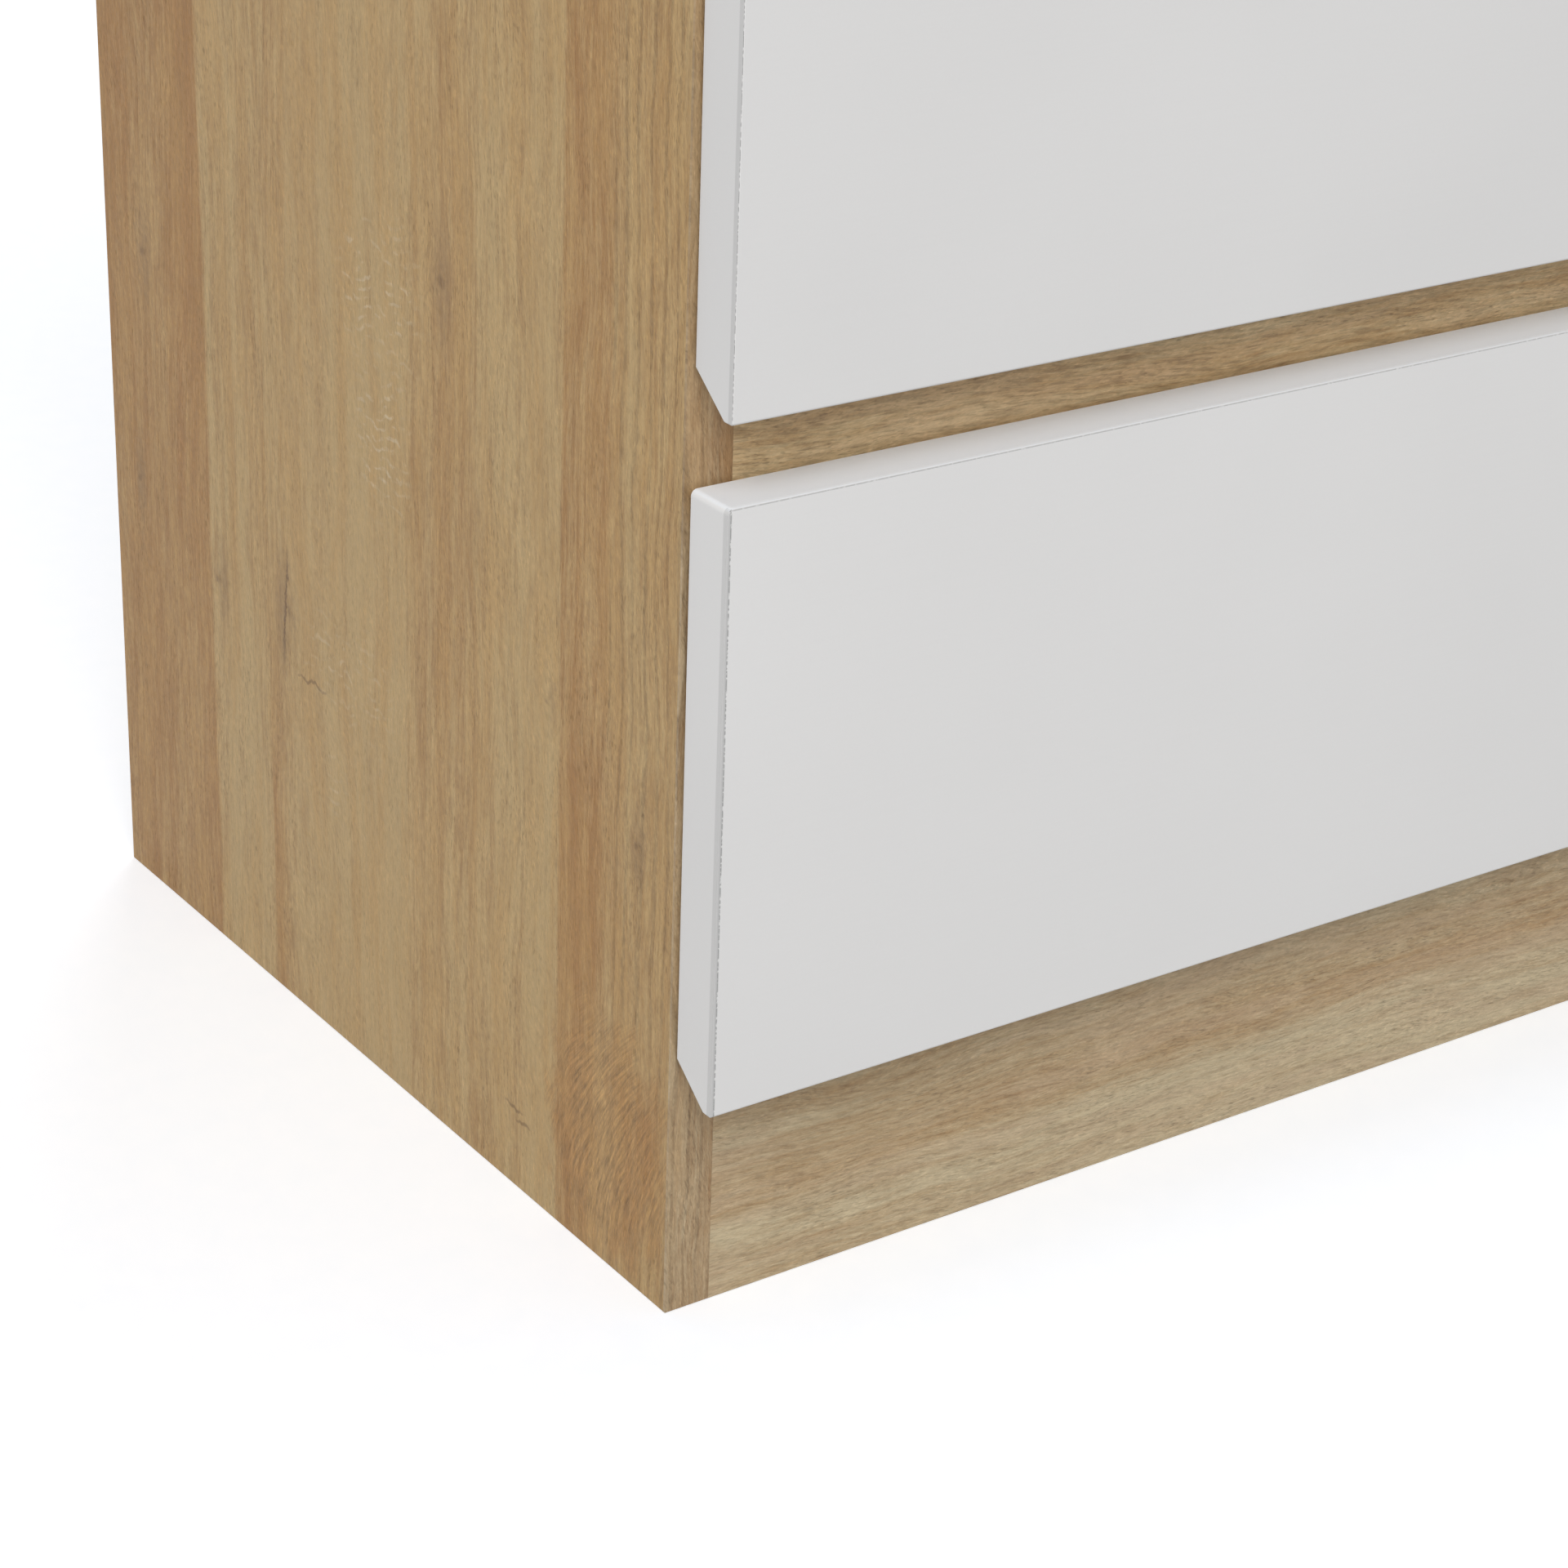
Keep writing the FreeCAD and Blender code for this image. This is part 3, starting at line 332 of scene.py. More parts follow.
def chipboard(s):
    """The colour of a sawn chipboard edge: pressed chips of mixed browns with dark gaps."""
    coordinates = s.coordinates()
    chip, shade, _ = s.separate(s.voronoi(coordinates, 900.0, output="Color"))
    coarse, _, _ = s.separate(s.voronoi(coordinates, 360.0, output="Color"))
    dust = s.noise(coordinates, 1500.0, detail=2)
    mixed = s.add(s.times(chip, 0.45), s.times(coarse, 0.35), s.times(dust, 0.20))
    colour = s.ramp(mixed, (0.15, linear((164, 134, 97))), (0.45, linear((188, 160, 121))),
                    (0.8, linear((206, 180, 143))))
    return s.mix(s.times(s.between(shade, 0.12, 0.05), 0.4), colour, linear((120, 94, 66)))


def oak_material(name, sheet):
    s = Shader(name)
    axes = dict(zip("xyz", s.separate(s.coordinates())))
    third = ({"x", "y", "z"} - {sheet.along, sheet.across}).pop()
    u = s.math("MULTIPLY_ADD", axes[sheet.across], 1000.0, -sheet.start)
    v = s.times(axes[sheet.along], 1000.0)
    w = s.times(axes[third], 1000.0)

    # each stave is cut from another place in the log
    place = s.times(u, 1 / sheet.width)
    cuts = s.ramp(place, (0.0, 0.1), *[(at / sheet.width, (k * 0.37 + 0.5) % 1.0) for k, at in
                                       enumerate(sheet.staves)], interpolation="CONSTANT")
    cut = s.separate(cuts)[0]
    v1 = s.add(v, s.math("MULTIPLY_ADD", cut, 1900.0, sheet.seed * 731.0))
    depth = s.math("MULTIPLY_ADD", w, 0.02, sheet.seed * 3.7)

    # the grain wanders, and flows round knots and swirls
    slow = s.centred(s.noise(s.combine(s.times(u, 1 / 70), s.times(v1, 1 / 330), depth), detail=1), 22)
    quick = s.centred(s.noise(s.combine(s.times(u, 1 / 26), s.times(v1, 1 / 75), s.add(depth, 2)), detail=2), 9)
    drift = s.add(u, slow, quick)
    u1 = drift
    smears = []
    for x, y, radius, strength in sheet.knots:
        wide, du = blob(s, u, v, (x, y), radius * 2.2, 1.5)
        u1 = s.math("MULTIPLY_ADD", s.times(wide, du), -radius * 0.8, u1)
        smears.append(s.times(blob(s, u1, v, (x, y), radius * 1.3, 4.5)[0], strength))
    swirls = []
    for x, y, radius, stretch in sheet.swirls:
        area = s.add(blob(s, u, v, (x, y), radius, stretch)[0], s.centred(s.noise(
            s.combine(s.times(u, 1 / 9), s.times(v, 1 / 14), sheet.seed), detail=2), 0.8))
        lean = s.math("MULTIPLY_ADD", s.times(s.add(v, -y + radius), s.add(v, -y + radius)), 0.006, u)
        comb = s.noise(s.combine(s.times(s.add(lean, quick), 1 / 1.3), s.times(v, 1 / 11), 40.0), detail=3,
                       roughness=0.75)
        swirls.append((s.between(area, 0.30, 0.75), comb))

    def grain(across_mm, along_mm, layer, slope=0.0, **settings):
        across = s.math("MULTIPLY_ADD", v1, slope, u1) if slope else u1
        where = s.combine(s.times(across, 1 / across_mm), s.times(v1, 1 / along_mm), s.add(depth, layer))
        return s.noise(where, **settings)

    # tone: the stave's own, then broad bands and streaks of every width
    broad = grain(24, 420, 1.3, detail=2)
    bands = grain(8, 260, 3.3, detail=3, roughness=0.7)
    streaks = grain(7.5, 75, 5.1, detail=4, roughness=0.85)
    threads = grain(1.7, 38, 8.1, detail=3, roughness=0.95)
    feather = grain(2.8, 9.0, 9.7, slope=sheet.slant, detail=3, roughness=0.95)
    stave = s.ramp(place, *[(at / sheet.width, tone) for at, tone in sheet.tones])
    # patches shift a stave's tone; on the edge bands they are painted shade
    for x, y, radius, stretch, amount in sheet.patches:
        stave = s.math("MULTIPLY_ADD", blob(s, drift, v, (x, y), radius, stretch)[0], amount, stave)
    vigour = sheet.contrast
    for low, high in sheet.calm:
        vigour = s.math("MULTIPLY_ADD", s.times(s.between(u, low, low + 1), s.between(u, high + 1, high)), -0.45,
                        vigour)
    for area, comb in swirls:
        stave = s.add(stave, s.times(area, s.add(0.80, s.times(stave, -1.0))))
        vigour = s.math("MULTIPLY_ADD", area, -0.8, vigour)
    darkness = s.add(stave, s.centred(broad, 0.8), s.times(vigour, s.add(
        s.centred(bands, 0.9), s.centred(streaks, 1.0), s.centred(threads, 1.1), s.centred(feather, 0.5))))
    colour = s.mix(darkness, tinted(OAK_LIGHT, sheet.tint), tinted(OAK_DARK, sheet.tint))
    blush = s.between(grain(12, 120, 14.2, detail=3, roughness=0.7), 0.42, 0.66)
    colour = s.mix(s.times(blush, 0.5), colour, tinted(sheet.blush, sheet.tint))

    # fine fibres, short dark pores and pale emboss strokes
    fibres = grain(0.85, 3.4, 17.9, slope=sheet.slant - 0.28, detail=2, roughness=0.9)
    pores = s.between(grain(0.5, 3.2, 21.3, slope=sheet.slant, detail=1), 0.58, 0.66)
    sparse = s.between(grain(8, 40, 23.0, detail=2), 0.44, 0.66)
    patchy = s.between(s.noise(s.combine(s.times(u, 1 / 18), s.times(v1, 1 / 45), depth), detail=2), 0.36, 0.66)
    strokes = s.between(grain(0.55, 3.0, 29.0, slope=sheet.slant - 0.22, detail=1), 0.58, 0.67)
    light = s.add(1.0, s.times(vigour, s.add(
        s.centred(streaks, -0.20), s.centred(threads, -0.40), s.centred(feather, -0.26),
        s.times(pores, s.math("MULTIPLY_ADD", sparse, -0.15, -0.03)))),
        s.centred(fibres, 0.42 * sheet.contrast), s.times(strokes, s.math("MULTIPLY_ADD", patchy, 0.14, 0.04)))
    for area, comb in swirls:
        light = s.math("MULTIPLY_ADD", area, s.centred(comb, 2.0), light)
    if sheet.dashes:
        dash = s.between(grain(0.9, 10.0, 44.0, slope=sheet.slant, detail=2, roughness=0.6), 0.47, 0.60)
        light = s.math("MULTIPLY_ADD", dash, -sheet.dashes, light)

    # thin dark growth lines in some staves
    for low, high, pitch in sheet.lines:
        uneven = s.math("MULTIPLY_ADD", grain(7, 160, 25.0, detail=1), 0.5, s.times(drift, 1 / pitch))
        wave = s.math("SINE", s.times(uneven, 2 * math.pi))
        thin = s.between(s.add(wave, s.centred(feather, 1.2)), 0.45, 1.05)
        inside = s.times(s.between(u, low - 2, low + 2), s.between(u, high + 1, high))
        clear = s.add(1.0, *[s.times(area, -1.0) for area, comb in swirls])
        light = s.math("MULTIPLY_ADD", s.times(thin, inside, clear), -0.17, light)

    # medullary rays: ladders of pale wavy bars across the grain
    for low, high, bottom, top, strength in sheet.rays:
        sway = s.noise(s.combine(s.times(u, 1 / 12), s.times(v, 1 / 30), s.add(depth, 60.0)), detail=2)
        bars = s.math("SINE", s.times(s.add(v, s.centred(sway, 16.0)), 2 * math.pi / 3.6))
        broken = s.between(s.noise(s.combine(s.times(u, 1 / 9), s.times(v, 1 / 4.5), s.add(depth, 64.0)), detail=3,
                                   roughness=0.7), 0.46, 0.66)
        across = s.times(s.between(u, low - 10, low + 10), s.between(u, high + 10, high - 10))
        upright = s.times(s.between(v, bottom - 16, bottom + 10), s.between(v, top + 16, top - 10))
        colour = s.mix(s.times(s.between(bars, 0.0, 0.9), broken, across, upright, strength), colour,
                       linear(OAK_PALE))

    # knots with a smear along the grain, and thin cracks
    if smears:
        ragged = s.centred(grain(2.4, 4.5, 33.0, detail=3, roughness=0.7), 0.9)
        smear = strongest(s, smears)
        colour = s.mix(s.times(s.between(s.add(smear, ragged), 0.15, 0.95), 0.60), colour, linear(OAK_SMEAR))
        cores = strongest(s, [s.times(blob(s, u, v, (x, y), radius, 0.75)[0], strength)
                              for x, y, radius, strength in sheet.knots])
        colour = s.mix(s.times(s.between(s.add(cores, s.times(ragged, 0.9)), 0.45, 0.95), 0.5), colour,
                       linear(OAK_KNOT))
    for x, y, length, lean in sheet.cracks:
        across_line = s.add(u, s.times(s.add(v, -y), lean), s.centred(feather, 6.0))
        gap = s.between(s.math("ABSOLUTE", s.add(across_line, -x)), 1.1, 0.2)
        ends = s.between(s.math("ABSOLUTE", s.add(v, -y)), length / 2, length / 5)
        colour = s.mix(s.times(gap, ends, 0.75), colour, linear(OAK_KNOT))
    for x, y, half in sheet.splits:
        wavy = s.add(v, s.centred(s.noise(s.combine(s.times(u, 1 / 7), 0.0, 50.0), detail=2), 9.0))
        mark = blob(s, u, wavy, (x, y), half, 0.9 / half)[0]
        colour = s.mix(s.times(s.between(s.add(mark, s.centred(fibres, 1.2)), 0.35, 0.9), 0.55), colour,
                       linear(OAK_KNOT))

    finished = s.brighten(colour, light)
    facing = dict(zip("xyz", s.separate(s.coordinates("Normal"))))
    for direction in sheet.raw:
        towards = s.times(facing[direction[1]], 1.0 if direction[0] == "+" else -1.0)
        finished = s.mix(s.between(towards, 0.7, 0.9), finished, chipboard(s))
    s.colour(finished)
    s.set("Roughness", s.add(0.50, s.centred(fibres, 0.20), s.times(pores, 0.12)))
    s.set("Specular IOR Level", 0.35)
    s.bump(s.add(s.times(pores, -1.0), s.times(strokes, -0.6), s.times(fibres, 0.5)), 0.00006, 0.8)
    return s.material


def random_tones(width, average, seed):
    """Tones and stave edges for a board that is only seen from other sides, worked out from a seed."""
    tones, staves, at, k = [], [], 0.0, 0
    while at < width and k < 14:
        level = 0.40 + 0.32 * math.sin(seed * 12.9 + k * 2.4)
        end = at + average * (1.0 + 0.45 * math.sin(seed * 7.1 + k * 1.7))
        tones += [(at + 0.3, level), (min(end, width), level + 0.22 * math.sin(seed + k * 4.1))]
        if k:
            staves.append(at)
        at = end
        k += 1
    return tones, staves


def dress_oak():
    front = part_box("edge_bands")[0].y / MM
    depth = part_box("side_panel_left")[1].y / MM - front
    tones = [(0, 0.26), (28, 0.27), (36, 0.43), (39, 0.67), (50, 0.74), (64.4, 0.56), (64.8, 0.00), (95, 0.12),
             (122, 0.30), (134, 0.22), (155, 0.10), (157, -0.08), (186, 0.00), (210, 0.10), (238, 0.20),
             (252, 0.20), (256, 0.10), (294.4, 0.20), (294.8, 0.95), (304, 0.92), (322, 0.74), (340, 0.74),
             (368, 0.80)]
    left = OakSheet("z", "y", front, depth, tones, (64.6, 156, 252.6, 294.6), seed=1.0, tint=SIDE_TINT,
                    contrast=1.3, raw=("+y", "-z", "+z"),
                    knots=[(134, 292, 4.6, 0.9), (237, 148, 5.0, 0.8), (340, 246, 4.5, 0.8), (350, 160, 3.2, 0.9),
                           (290, 141, 3.5, 0.8), (20, 151, 3.2, 0.8), (72, 178, 2.4, 0.6)],
                    cracks=[(240, 150, 52, 0.10)], splits=[(90, 28.5, 7), (84, 25, 6), (222, 127, 14)],
                    swirls=[(34, 44, 40, 1.25)], lines=[(-2, 37, 6.1)],
                    rays=[(150, 196, 262, 296, 0.65), (158, 186, 212, 246, 0.85), (170, 225, 128, 150, 0.5),
                          (202, 214, 88, 102, 0.6)],
                    calm=[(158, 236), (66, 84)],
                    patches=[(136, 190, 20, 3.4, 0.24), (76, 140, 14, 8.0, -0.22), (244, 40, 9, 11.0, 0.62),
                             (312, 300, 12, 7.0, 0.30), (272, 90, 16, 6.0, -0.25), (46, 120, 16, 3.0, 0.42)])
    NODES["side_panel_left"].data.materials[0] = oak_material("oak_side_left", left)
    tones, staves = random_tones(depth, 82, 0.6)
    right = OakSheet("z", "y", front, depth, tones, staves, seed=2.3, tint=SIDE_TINT, raw=("+y", "-z", "+z"),
                     contrast=1.2,
                     knots=[(120, 430, 5.0, 0.9), (260, 210, 4.0, 0.8), (70, 120, 3.5, 0.8)],
                     cracks=[(262, 215, 40, -0.08)], swirls=[(300, 560, 26, 1.8)], lines=[(180, 225, 6.2)],
                     rays=[(40, 110, 300, 380, 0.5)])
    NODES["side_panel_right"].data.materials[0] = oak_material("oak_side_right", right)
    # the four edge band patches sit at the gaps between the fronts: painted shade where the fronts overhang the bands
    bands = OakSheet("z", "x", -450, 900, [(0, 0.35), (900, 0.45)], (450,), seed=3.1, tint=EDGE_TINT, slant=0.25,
                     contrast=1.3, lines=[(0, 900, 5.2)],
                     patches=[(15, 283, 12, 1.7, 0.6), (15, 498, 12, 1.7, 0.5), (885, 283, 12, 1.7, 0.55),
                              (885, 498, 12, 1.7, 0.55)])
    NODES["edge_bands"].data.materials[0] = oak_material("oak_edge_bands", bands)

    tones = [(0, 0.20), (24, 0.14), (36, 0.62), (48, 0.42), (72, 0.30)]
    plinth = OakSheet("x", "z", 0, 72, tones, seed=4.4, slant=0.13, tint=FRONT_TINT, blush=OAK_PINK, contrast=1.15,
                      dashes=0.12)
    NODES["plinth_board"].data.materials[0] = oak_material("oak_plinth_board", plinth)
    tones = [(0, 0.50), (312, 0.45), (750, 0.4)]
    # the rails' tint lightens them against the shade between the fronts: painted light
    rails = OakSheet("x", "z", 0, 750, tones, (380, 590), seed=5.7, slant=0.06, tint=RAIL_TINT_PAINTED_LIGHTER, blush=OAK_PINK,
                     contrast=1.1, dashes=0.20)
    for node in ("front_rail_lower", "front_rail_upper", "front_rail_top"):
        NODES[node].data.materials[0] = oak_material("oak_" + node, rails)
    low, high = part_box("benchtop")
    span = (high.y - low.y) / MM
    tones, staves = random_tones(span, 74, 2.7)
    # the benchtop tint evens out the stronger light from above: painted shade
    top = OakSheet("x", "y", low.y / MM, span, tones, staves, seed=5.2, tint=TOP_TINT_PAINTED_DARKER, contrast=1.15, raw=("+y", "-z"),
                   knots=[(90, -300, 5.0, 0.9), (240, 330, 4.5, 0.8), (330, -120, 3.8, 0.8)],
                   cracks=[(92, -296, 42, 0.1)], swirls=[(130, 260, 28, 1.7)],
                   rays=[(150, 240, -420, -330, 0.5), (40, 90, 60, 160, 0.5)])
    NODES["benchtop"].data.materials[0] = oak_material("oak_benchtop", top)
    tones, staves = random_tones(400, 90, 3.3)
    NODES["bottom_panel"].data.materials[0] = oak_material(
        "oak_bottom_panel", OakSheet("x", "y", -200, 400, tones, staves, seed=6.6, raw=("+y",)))
    tones, staves = random_tones(750, 90, 4.1)
    back = OakSheet("x", "z", 0, 750, tones, staves, seed=7.9, raw=("+z", "-z"))
    for node in ("back_rail_top", "back_rail_bottom"):
        NODES[node].data.materials[0] = oak_material("oak_" + node, back)


# --- the other finishes ------------------------------------------------------------------------------------------
def front_material(node, tone=1.0):
    """White satin foil with a few specks, painted shade in a strip on the ends and on the rounded arrises, thin broken
    dark lines along the arrises, and painted light on the top faces.
    """
    s = Shader("white_" + node)
    low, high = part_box(node)
    coordinates = s.coordinates()
    x, y, z = s.separate(coordinates)
    brushed = s.noise(s.combine(s.times(x, 9.0), s.times(y, 300.0), s.times(z, 900.0)), detail=3, roughness=0.6)
    cloudy = s.noise(coordinates, 7.0, detail=2)
    colour = s.ramp(cloudy, (0.35, linear((233, 232, 231))), (0.65, linear((236, 235, 234))))
    fuzz = s.noise(coordinates, 1400.0, detail=2)
    # tone below 1 darkens the whole front: painted shade on the same foil
    light = s.add(tone, s.centred(brushed, 0.014), s.centred(fuzz, 0.02))

    facing_x, facing_y, facing_z = s.separate(s.coordinates("Normal"))
    on_end = s.between(s.math("ABSOLUTE", facing_x), 0.55, 0.8)
    behind_face = s.times(s.math("SUBTRACT", y, low.y), 1000.0)
    below_top = s.times(s.math("SUBTRACT", high.z, z), 1000.0)
    from_end = s.times(s.math("SUBTRACT", high.x, s.math("ABSOLUTE", x)), 1000.0)
    on_side = s.math("MAXIMUM", on_end, s.between(from_end, 0.45, 0.35))
    # painted shade: a darker strip about 2 mm wide on the ends, just behind the front face
    painted_shade_strip = s.times(on_side, s.between(behind_face, 2.3, 1.9))
    light = s.math("MULTIPLY_ADD", painted_shade_strip, -0.17, light)
    near_face = s.between(behind_face, 0.3, 0.2)
    # painted shade on the rounded arrises, so they do not catch a highlight
    painted_shade_on_fillets = s.math("MAXIMUM", s.times(s.between(from_end, 0.42, 0.30), s.between(behind_face, 0.42, 0.30)),
                     s.times(s.between(below_top, 0.42, 0.30), s.between(behind_face, 0.42, 0.30)))
    light = s.math("MULTIPLY_ADD", painted_shade_on_fillets, -0.12, light)
    ragged = s.noise(coordinates, 900.0, detail=2)
    top_line = s.times(near_face, s.between(s.math("ABSOLUTE", s.add(below_top, -0.50)), 0.26, 0.10),
                       s.between(ragged, 0.22, 0.50), 0.75)
    end_line = s.times(near_face, s.between(s.math("ABSOLUTE", s.add(from_end, -0.45)), 0.30, 0.12),
                       s.between(ragged, 0.40, 0.54))
    light = s.math("MULTIPLY_ADD", s.math("MAXIMUM", top_line, end_line), -0.42, light)
    # painted light: the top faces get a lighter, cooler white, and a painted highlight strip just behind the front
    # edge
    painted_light_on_top = s.between(facing_z, 0.5, 0.9)
    light = s.math("MULTIPLY_ADD", s.times(painted_light_on_top, s.between(behind_face, 2.0, 0.9)), 0.05, light)
    colour = s.mix(s.times(painted_light_on_top, 0.8), colour, linear((239, 243, 248)))

    spot = s.voronoi(coordinates, 30.0)
    chosen, size, _ = s.separate(s.voronoi(coordinates, 30.0, output="Color"))
    speck = s.times(s.math("LESS_THAN", spot, s.times(size, 0.011)), s.math("GREATER_THAN", chosen, 0.62))
    colour = s.mix(s.times(speck, 0.55), s.brighten(colour, light), linear((120, 112, 104)))
    s.colour(colour)
    s.set("Roughness", s.add(0.42, s.centred(brushed, 0.10)))
    s.set("Specular IOR Level", 0.4)
    orange_peel = s.noise(coordinates, 260.0, detail=2)
    s.bump(s.add(s.times(brushed, 0.4), s.times(orange_peel, 0.6), s.times(fuzz, 0.35)), 0.00005, 0.5)
    return s.material


def melamine_material():
    """Light grey drawer board with a linen print."""
    s = Shader("melamine_drawer_board")
    x, y, z = s.separate(s.coordinates())
    prints = []
    for fine in range(3):
        scaled = [s.times(axis, 1500.0 if k == fine else 90.0) for k, axis in enumerate((x, y, z))]
        prints.append(s.noise(s.combine(*scaled), detail=2))
    threads = s.times(s.add(*prints), 1 / 3)
    s.colour(s.ramp(threads, (0.40, linear((209, 209, 206))), (0.60, linear((219, 219, 216)))))
    s.set("Roughness", s.add(0.5, s.centred(threads, 0.15)))
    s.bump(threads, 0.00004, 0.4)
    return s.material


def hardboard_material():
    """Thin fibreboard with a lacquered print, a little blotchy."""
    s = Shader("hardboard_back")
    coordinates = s.coordinates()
    x, y, z = s.separate(coordinates)
    fibre = s.noise(coordinates, 700.0, detail=4, roughness=0.7)
    cloud = s.noise(coordinates, 9.0, detail=3)
    strands = s.noise(s.combine(s.times(x, 260.0), y, s.times(z, 90.0)), detail=4, roughness=0.7)
    colour = s.ramp(s.add(s.times(fibre, 0.4), s.times(cloud, 0.3), s.times(strands, 0.3)),
                    (0.34, linear((170, 141, 105))), (0.5, linear((190, 163, 126))), (0.66, linear((207, 182, 147))))
    flecks = s.between(s.noise(coordinates, 420.0, detail=1), 0.70, 0.78)
    s.colour(s.mix(s.times(flecks, 0.5), colour, linear((128, 98, 68))))
    s.set("Roughness", s.add(0.55, s.centred(cloud, 0.2)))
    s.bump(fibre, 0.00006, 0.5)
    return s.material


def zinc_material(name="zinc_plate"):
    """Rolled zinc-plated steel: faint spangles and drawing lines along the runners."""
    s = Shader(name)
    coordinates = s.coordinates()
    x, y, z = s.separate(coordinates)
    rolled = s.noise(s.combine(s.times(x, 700.0), s.times(y, 12.0), s.times(z, 700.0)), detail=3)
    spangle, _, _ = s.separate(s.voronoi(coordinates, 380.0, output="Color"))
    grey = s.add(s.times(rolled, 0.7), s.times(spangle, 0.3))
    s.colour(s.ramp(grey, (0.25, linear((192, 194, 197))), (0.75, linear((205, 206, 208)))))
    s.set("Metallic", 1.0)
    s.set("Roughness", s.add(0.34, s.centred(rolled, 0.12), s.centred(spangle, 0.03)))
    s.bump(rolled, 0.00003, 0.4)
    return s.material


def chrome_material(name="chrome_plate", marks=()):
    """Polished chrome with a faint haze. marks are enamel dots let into it: (place, radius, colour)."""
    s = Shader(name)
    coordinates = s.coordinates()
    haze = s.noise(coordinates, 38.0, detail=4, roughness=0.6)
    wiped = s.noise(coordinates, 900.0, detail=1)
    colour = s.ramp(haze, (0.3, linear((192, 195, 198))), (0.7, linear((203, 205, 208))))
    bare = 1.0
    x, y, z = s.separate(coordinates)
    for place, radius, enamel in marks:
        away = [s.add(axis, -at) for axis, at in zip((x, y, z), place)]
        distance = s.math("SQRT", s.add(*[s.times(d, d) for d in away]))
        dot = s.between(distance, radius, radius * 0.92)
        colour = s.mix(dot, colour, linear(enamel))
        bare = s.math("MULTIPLY_ADD", dot, -1.0, bare)
    s.colour(colour)
    s.set("Metallic", bare)
    s.set("Roughness", s.add(0.055, s.times(s.between(haze, 0.5, 0.75), 0.05), s.centred(wiped, 0.015)))
    s.bump(haze, 0.00002, 0.2)
    return s.material


def lever_material():
    """Chrome with a red and a blue dot low on the cap, either side of the lever."""
    low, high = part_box("tap_lever")
    axis_y, radius, around = high.y - TAP_CAP_RADIUS, TAP_CAP_RADIUS, math.radians(MARK_ANGLE)
    height = high.z - MARK_BELOW_LEVER_TIP
    marks = [((sign * radius * math.sin(around), axis_y - radius * math.cos(around), height), MARK_RADIUS, colour)
             for sign, colour in ((-1, (196, 34, 34)), (1, (32, 74, 168)))]
    return chrome_material("chrome_tap_lever", marks)


def ceramic_material():
    """Thick white glaze: a soft waviness, and a hair of warmth where it thins at the rim."""
    s = Shader("glazed_ceramic_white")
    coordinates = s.coordinates()
    low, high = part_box("basin")
    _, _, z = s.separate(coordinates)
    cloud = s.noise(coordinates, 11.0, detail=3)
    thin = s.between(z, high.z - 0.006, high.z)
    colour = s.ramp(cloud, (0.3, linear((240, 240, 238))), (0.7, linear((244, 244, 243))))
    s.colour(s.mix(s.times(thin, 0.35), colour, linear((236, 233, 226))))
    s.set("Roughness", s.add(0.07, s.centred(cloud, 0.03)))
    s.set("Coat Weight", 0.6)
    s.set("Coat Roughness", 0.03)
    ripple = s.noise(coordinates, 55.0, detail=2)
    s.bump(ripple, 0.00012, 0.25)
    return s.material


def plastic_material(name, low_colour, high_colour, roughness, scale=180.0):
    """Moulded plastic or rubber with a fine cast skin."""
    s = Shader(name)
    coordinates = s.coordinates()
    flow = s.noise(coordinates, 16.0, detail=3)
    skin = s.noise(coordinates, scale * 6, detail=2)
    s.colour(s.ramp(flow, (0.3, linear(low_colour)), (0.7, linear(high_colour))))
    s.set("Roughness", s.add(roughness, s.centred(skin, 0.10)))
    s.bump(skin, 0.00003, 0.4)
    return s.material


def brass_material():
    s = Shader("turned_brass")
    _, _, z = s.separate(s.coordinates())
    turned = s.noise(s.combine(0.0, 0.0, s.times(z, 2600.0)), detail=2)
    s.colour(s.ramp(turned, (0.3, linear((196, 162, 96))), (0.7, linear((218, 186, 120)))))
    s.set("Metallic", 1.0)
    s.set("Roughness", s.add(0.26, s.centred(turned, 0.12)))
    s.bump(turned, 0.00003, 0.5)
    return s.material


def beech_material():
    s = Shader("beech_dowel")
    x, y, z = s.separate(s.coordinates())
    grain = s.noise(s.combine(s.times(x, 40.0), s.times(y, 1500.0), s.times(z, 1500.0)), detail=3)
    s.colour(s.ramp(grain, (0.3, linear((196, 158, 116))), (0.7, linear((216, 182, 142)))))
    s.set("Roughness", s.add(0.6, s.centred(grain, 0.1)))
    s.bump(grain, 0.00006, 0.5)
    return s.material


def bumper_material():
    s = Shader("clear_bumper")
    cloud = s.noise(s.coordinates(), 300.0, detail=2)
    s.colour(s.ramp(cloud, (0.3, linear((226, 227, 224))), (0.7, linear((238, 238, 236)))))
    s.set("Transmission Weight", 0.7)
    s.set("Roughness", s.add(0.25, s.centred(cloud, 0.1)))
    s.set("IOR", 1.49)
    return s.material


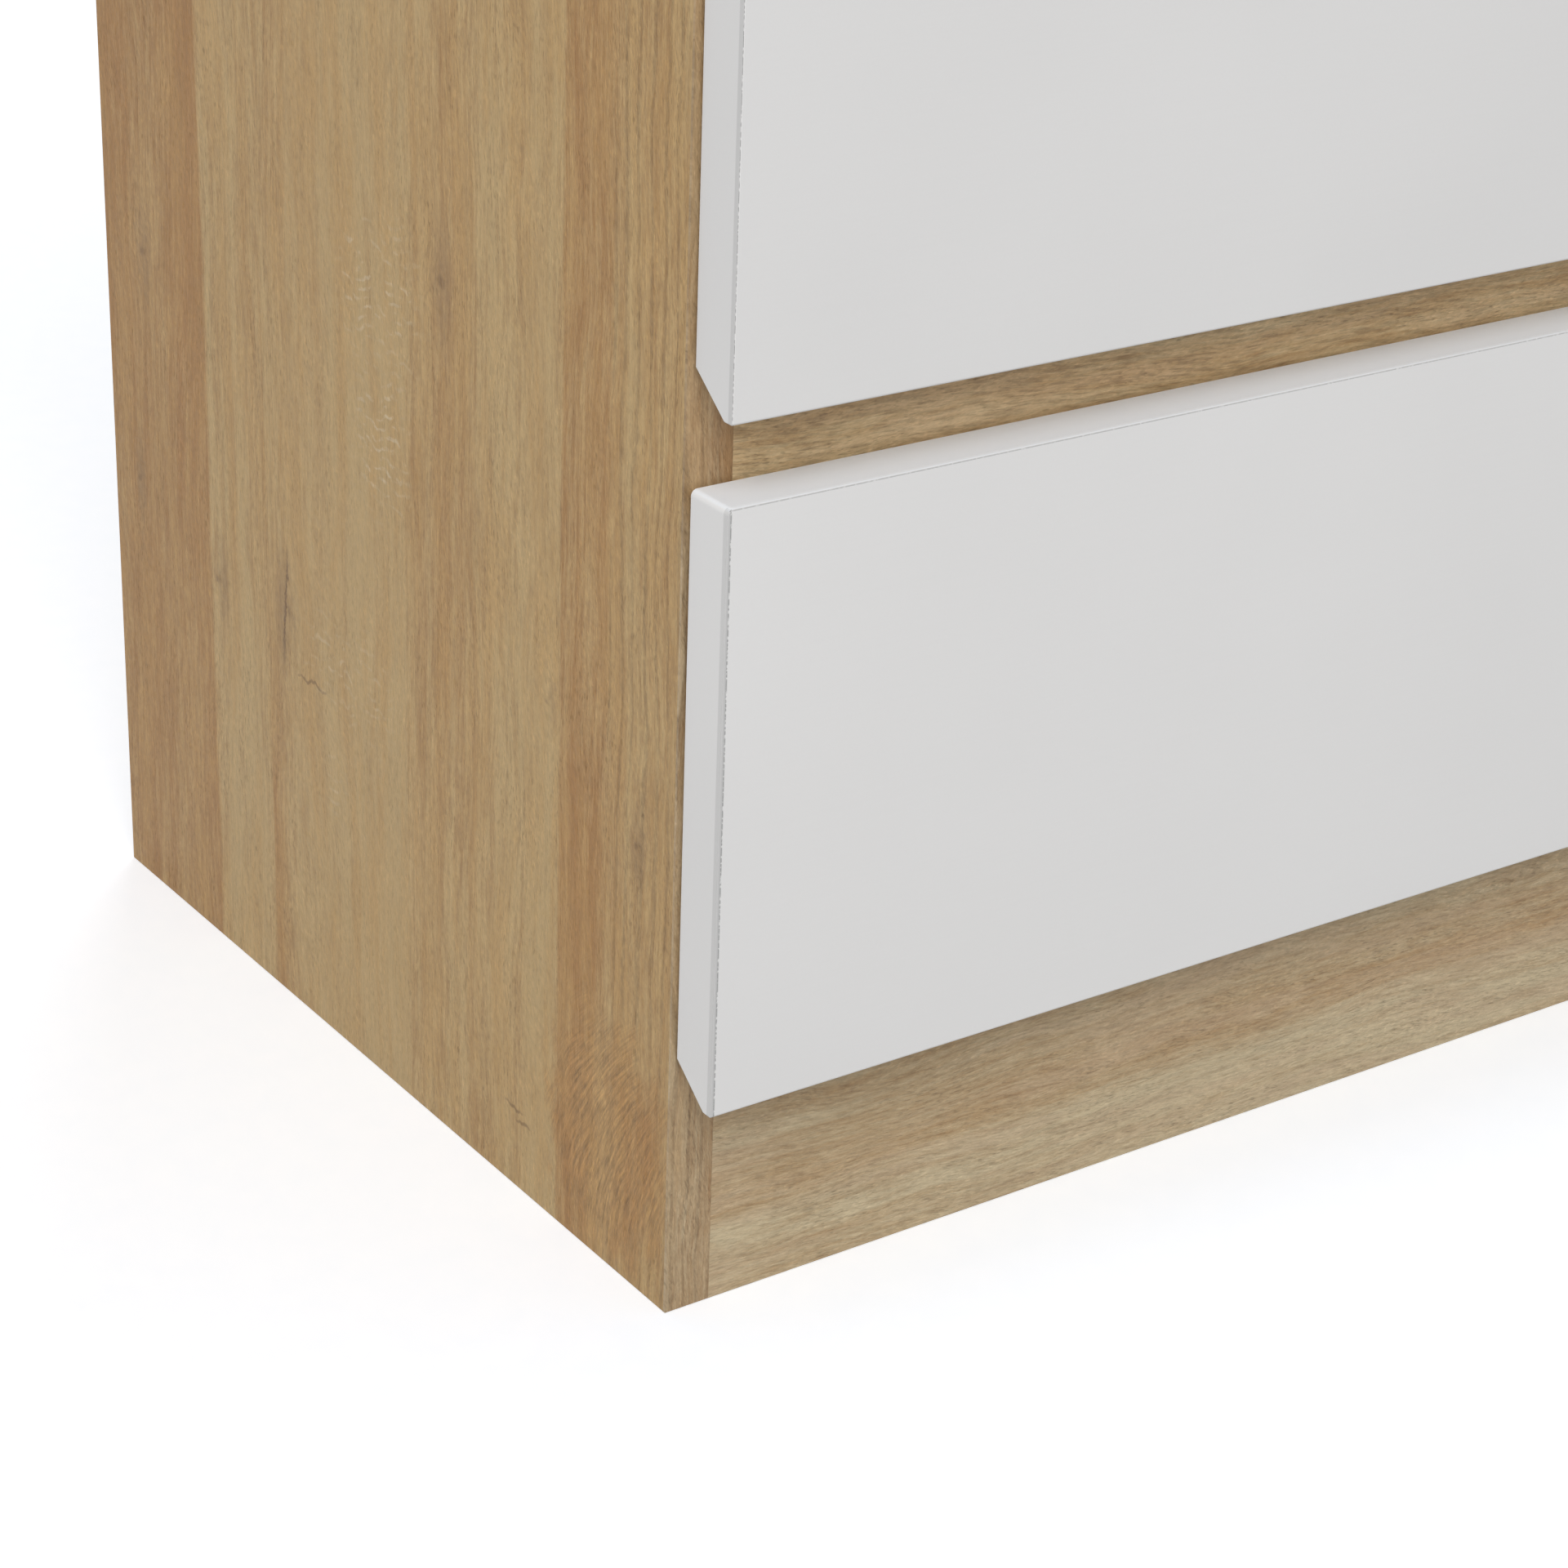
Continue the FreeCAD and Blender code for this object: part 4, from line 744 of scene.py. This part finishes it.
def dress_cad():
    """The oak boards, the fronts and the tap lever get their finishes by node; every other CAD node by the material
    slot that the record gives it.
    """
    dress_oak()
    # the middle and top fronts are made a little darker than the lower one: painted shade, not another foil
    for node, tone in (("front_lower", 1.0), ("front_middle", 0.96), ("front_top", 0.97)):
        NODES[node].data.materials[0] = front_material(node, tone)
    finishes = {
        "drawer_board": melamine_material(),
        "back_board": hardboard_material(),
        "zinc_steel": zinc_material(),
        "chrome": chrome_material(),
        "glazed_ceramic": ceramic_material(),
        "white_plastic": plastic_material("white_polypropylene", (232, 232, 229), (240, 240, 238), 0.34),
        "black_rubber": plastic_material("black_rubber_seal", (30, 30, 31), (42, 42, 43), 0.62),
        "brass": brass_material(),
        "beech": beech_material(),
        "clear_rubber": bumper_material(),
    }
    NODES["tap_lever"].data.materials[0] = lever_material()
    for part in frame["record"]["subparts"]:
        if part["material_slot"] in finishes and part["node"] != "tap_lever":
            NODES[part["node"]].data.materials[0] = finishes[part["material_slot"]]


def add_back_pins():
    """The domed pins that hold the back panels on the base and on the upper back rail."""
    low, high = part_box("back_panels")
    panels = NODES["back_panels"]
    inner = min(abs((panels.matrix_world @ vertex.co).x) for vertex in panels.data.vertices) + PIN_MARGIN
    outer = high.x - PIN_MARGIN
    rows = [(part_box(node)[0].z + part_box(node)[1].z) / 2 for node in ("bottom_panel", "back_rail_top")]
    mesh = bmesh.new()
    for z in rows:
        for k in range(PINS_PER_ROW):
            for sign in (-1, 1):
                x = sign * (inner + (outer - inner) * k / (PINS_PER_ROW - 1))
                place = Matrix.Translation((x, high.y + PIN_DOME / 2, z)) @ Matrix.Rotation(math.radians(-90), 4, "X")
                bmesh.ops.create_cone(mesh, cap_ends=True, segments=16, radius1=PIN_RADIUS, radius2=PIN_RADIUS * 0.6,
                                      depth=PIN_DOME, matrix=place)
    data = bpy.data.meshes.new("back_panel_pins")
    mesh.to_mesh(data)
    mesh.free()
    pins = bpy.data.objects.new("back_panel_pins", data)
    bpy.context.scene.collection.objects.link(pins)
    data.materials.append(zinc_material("zinc_pins"))
    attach(pins, NODES["back_panels"]["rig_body"])


make_camera()
make_studio()
dress_cad()
add_back_pins()
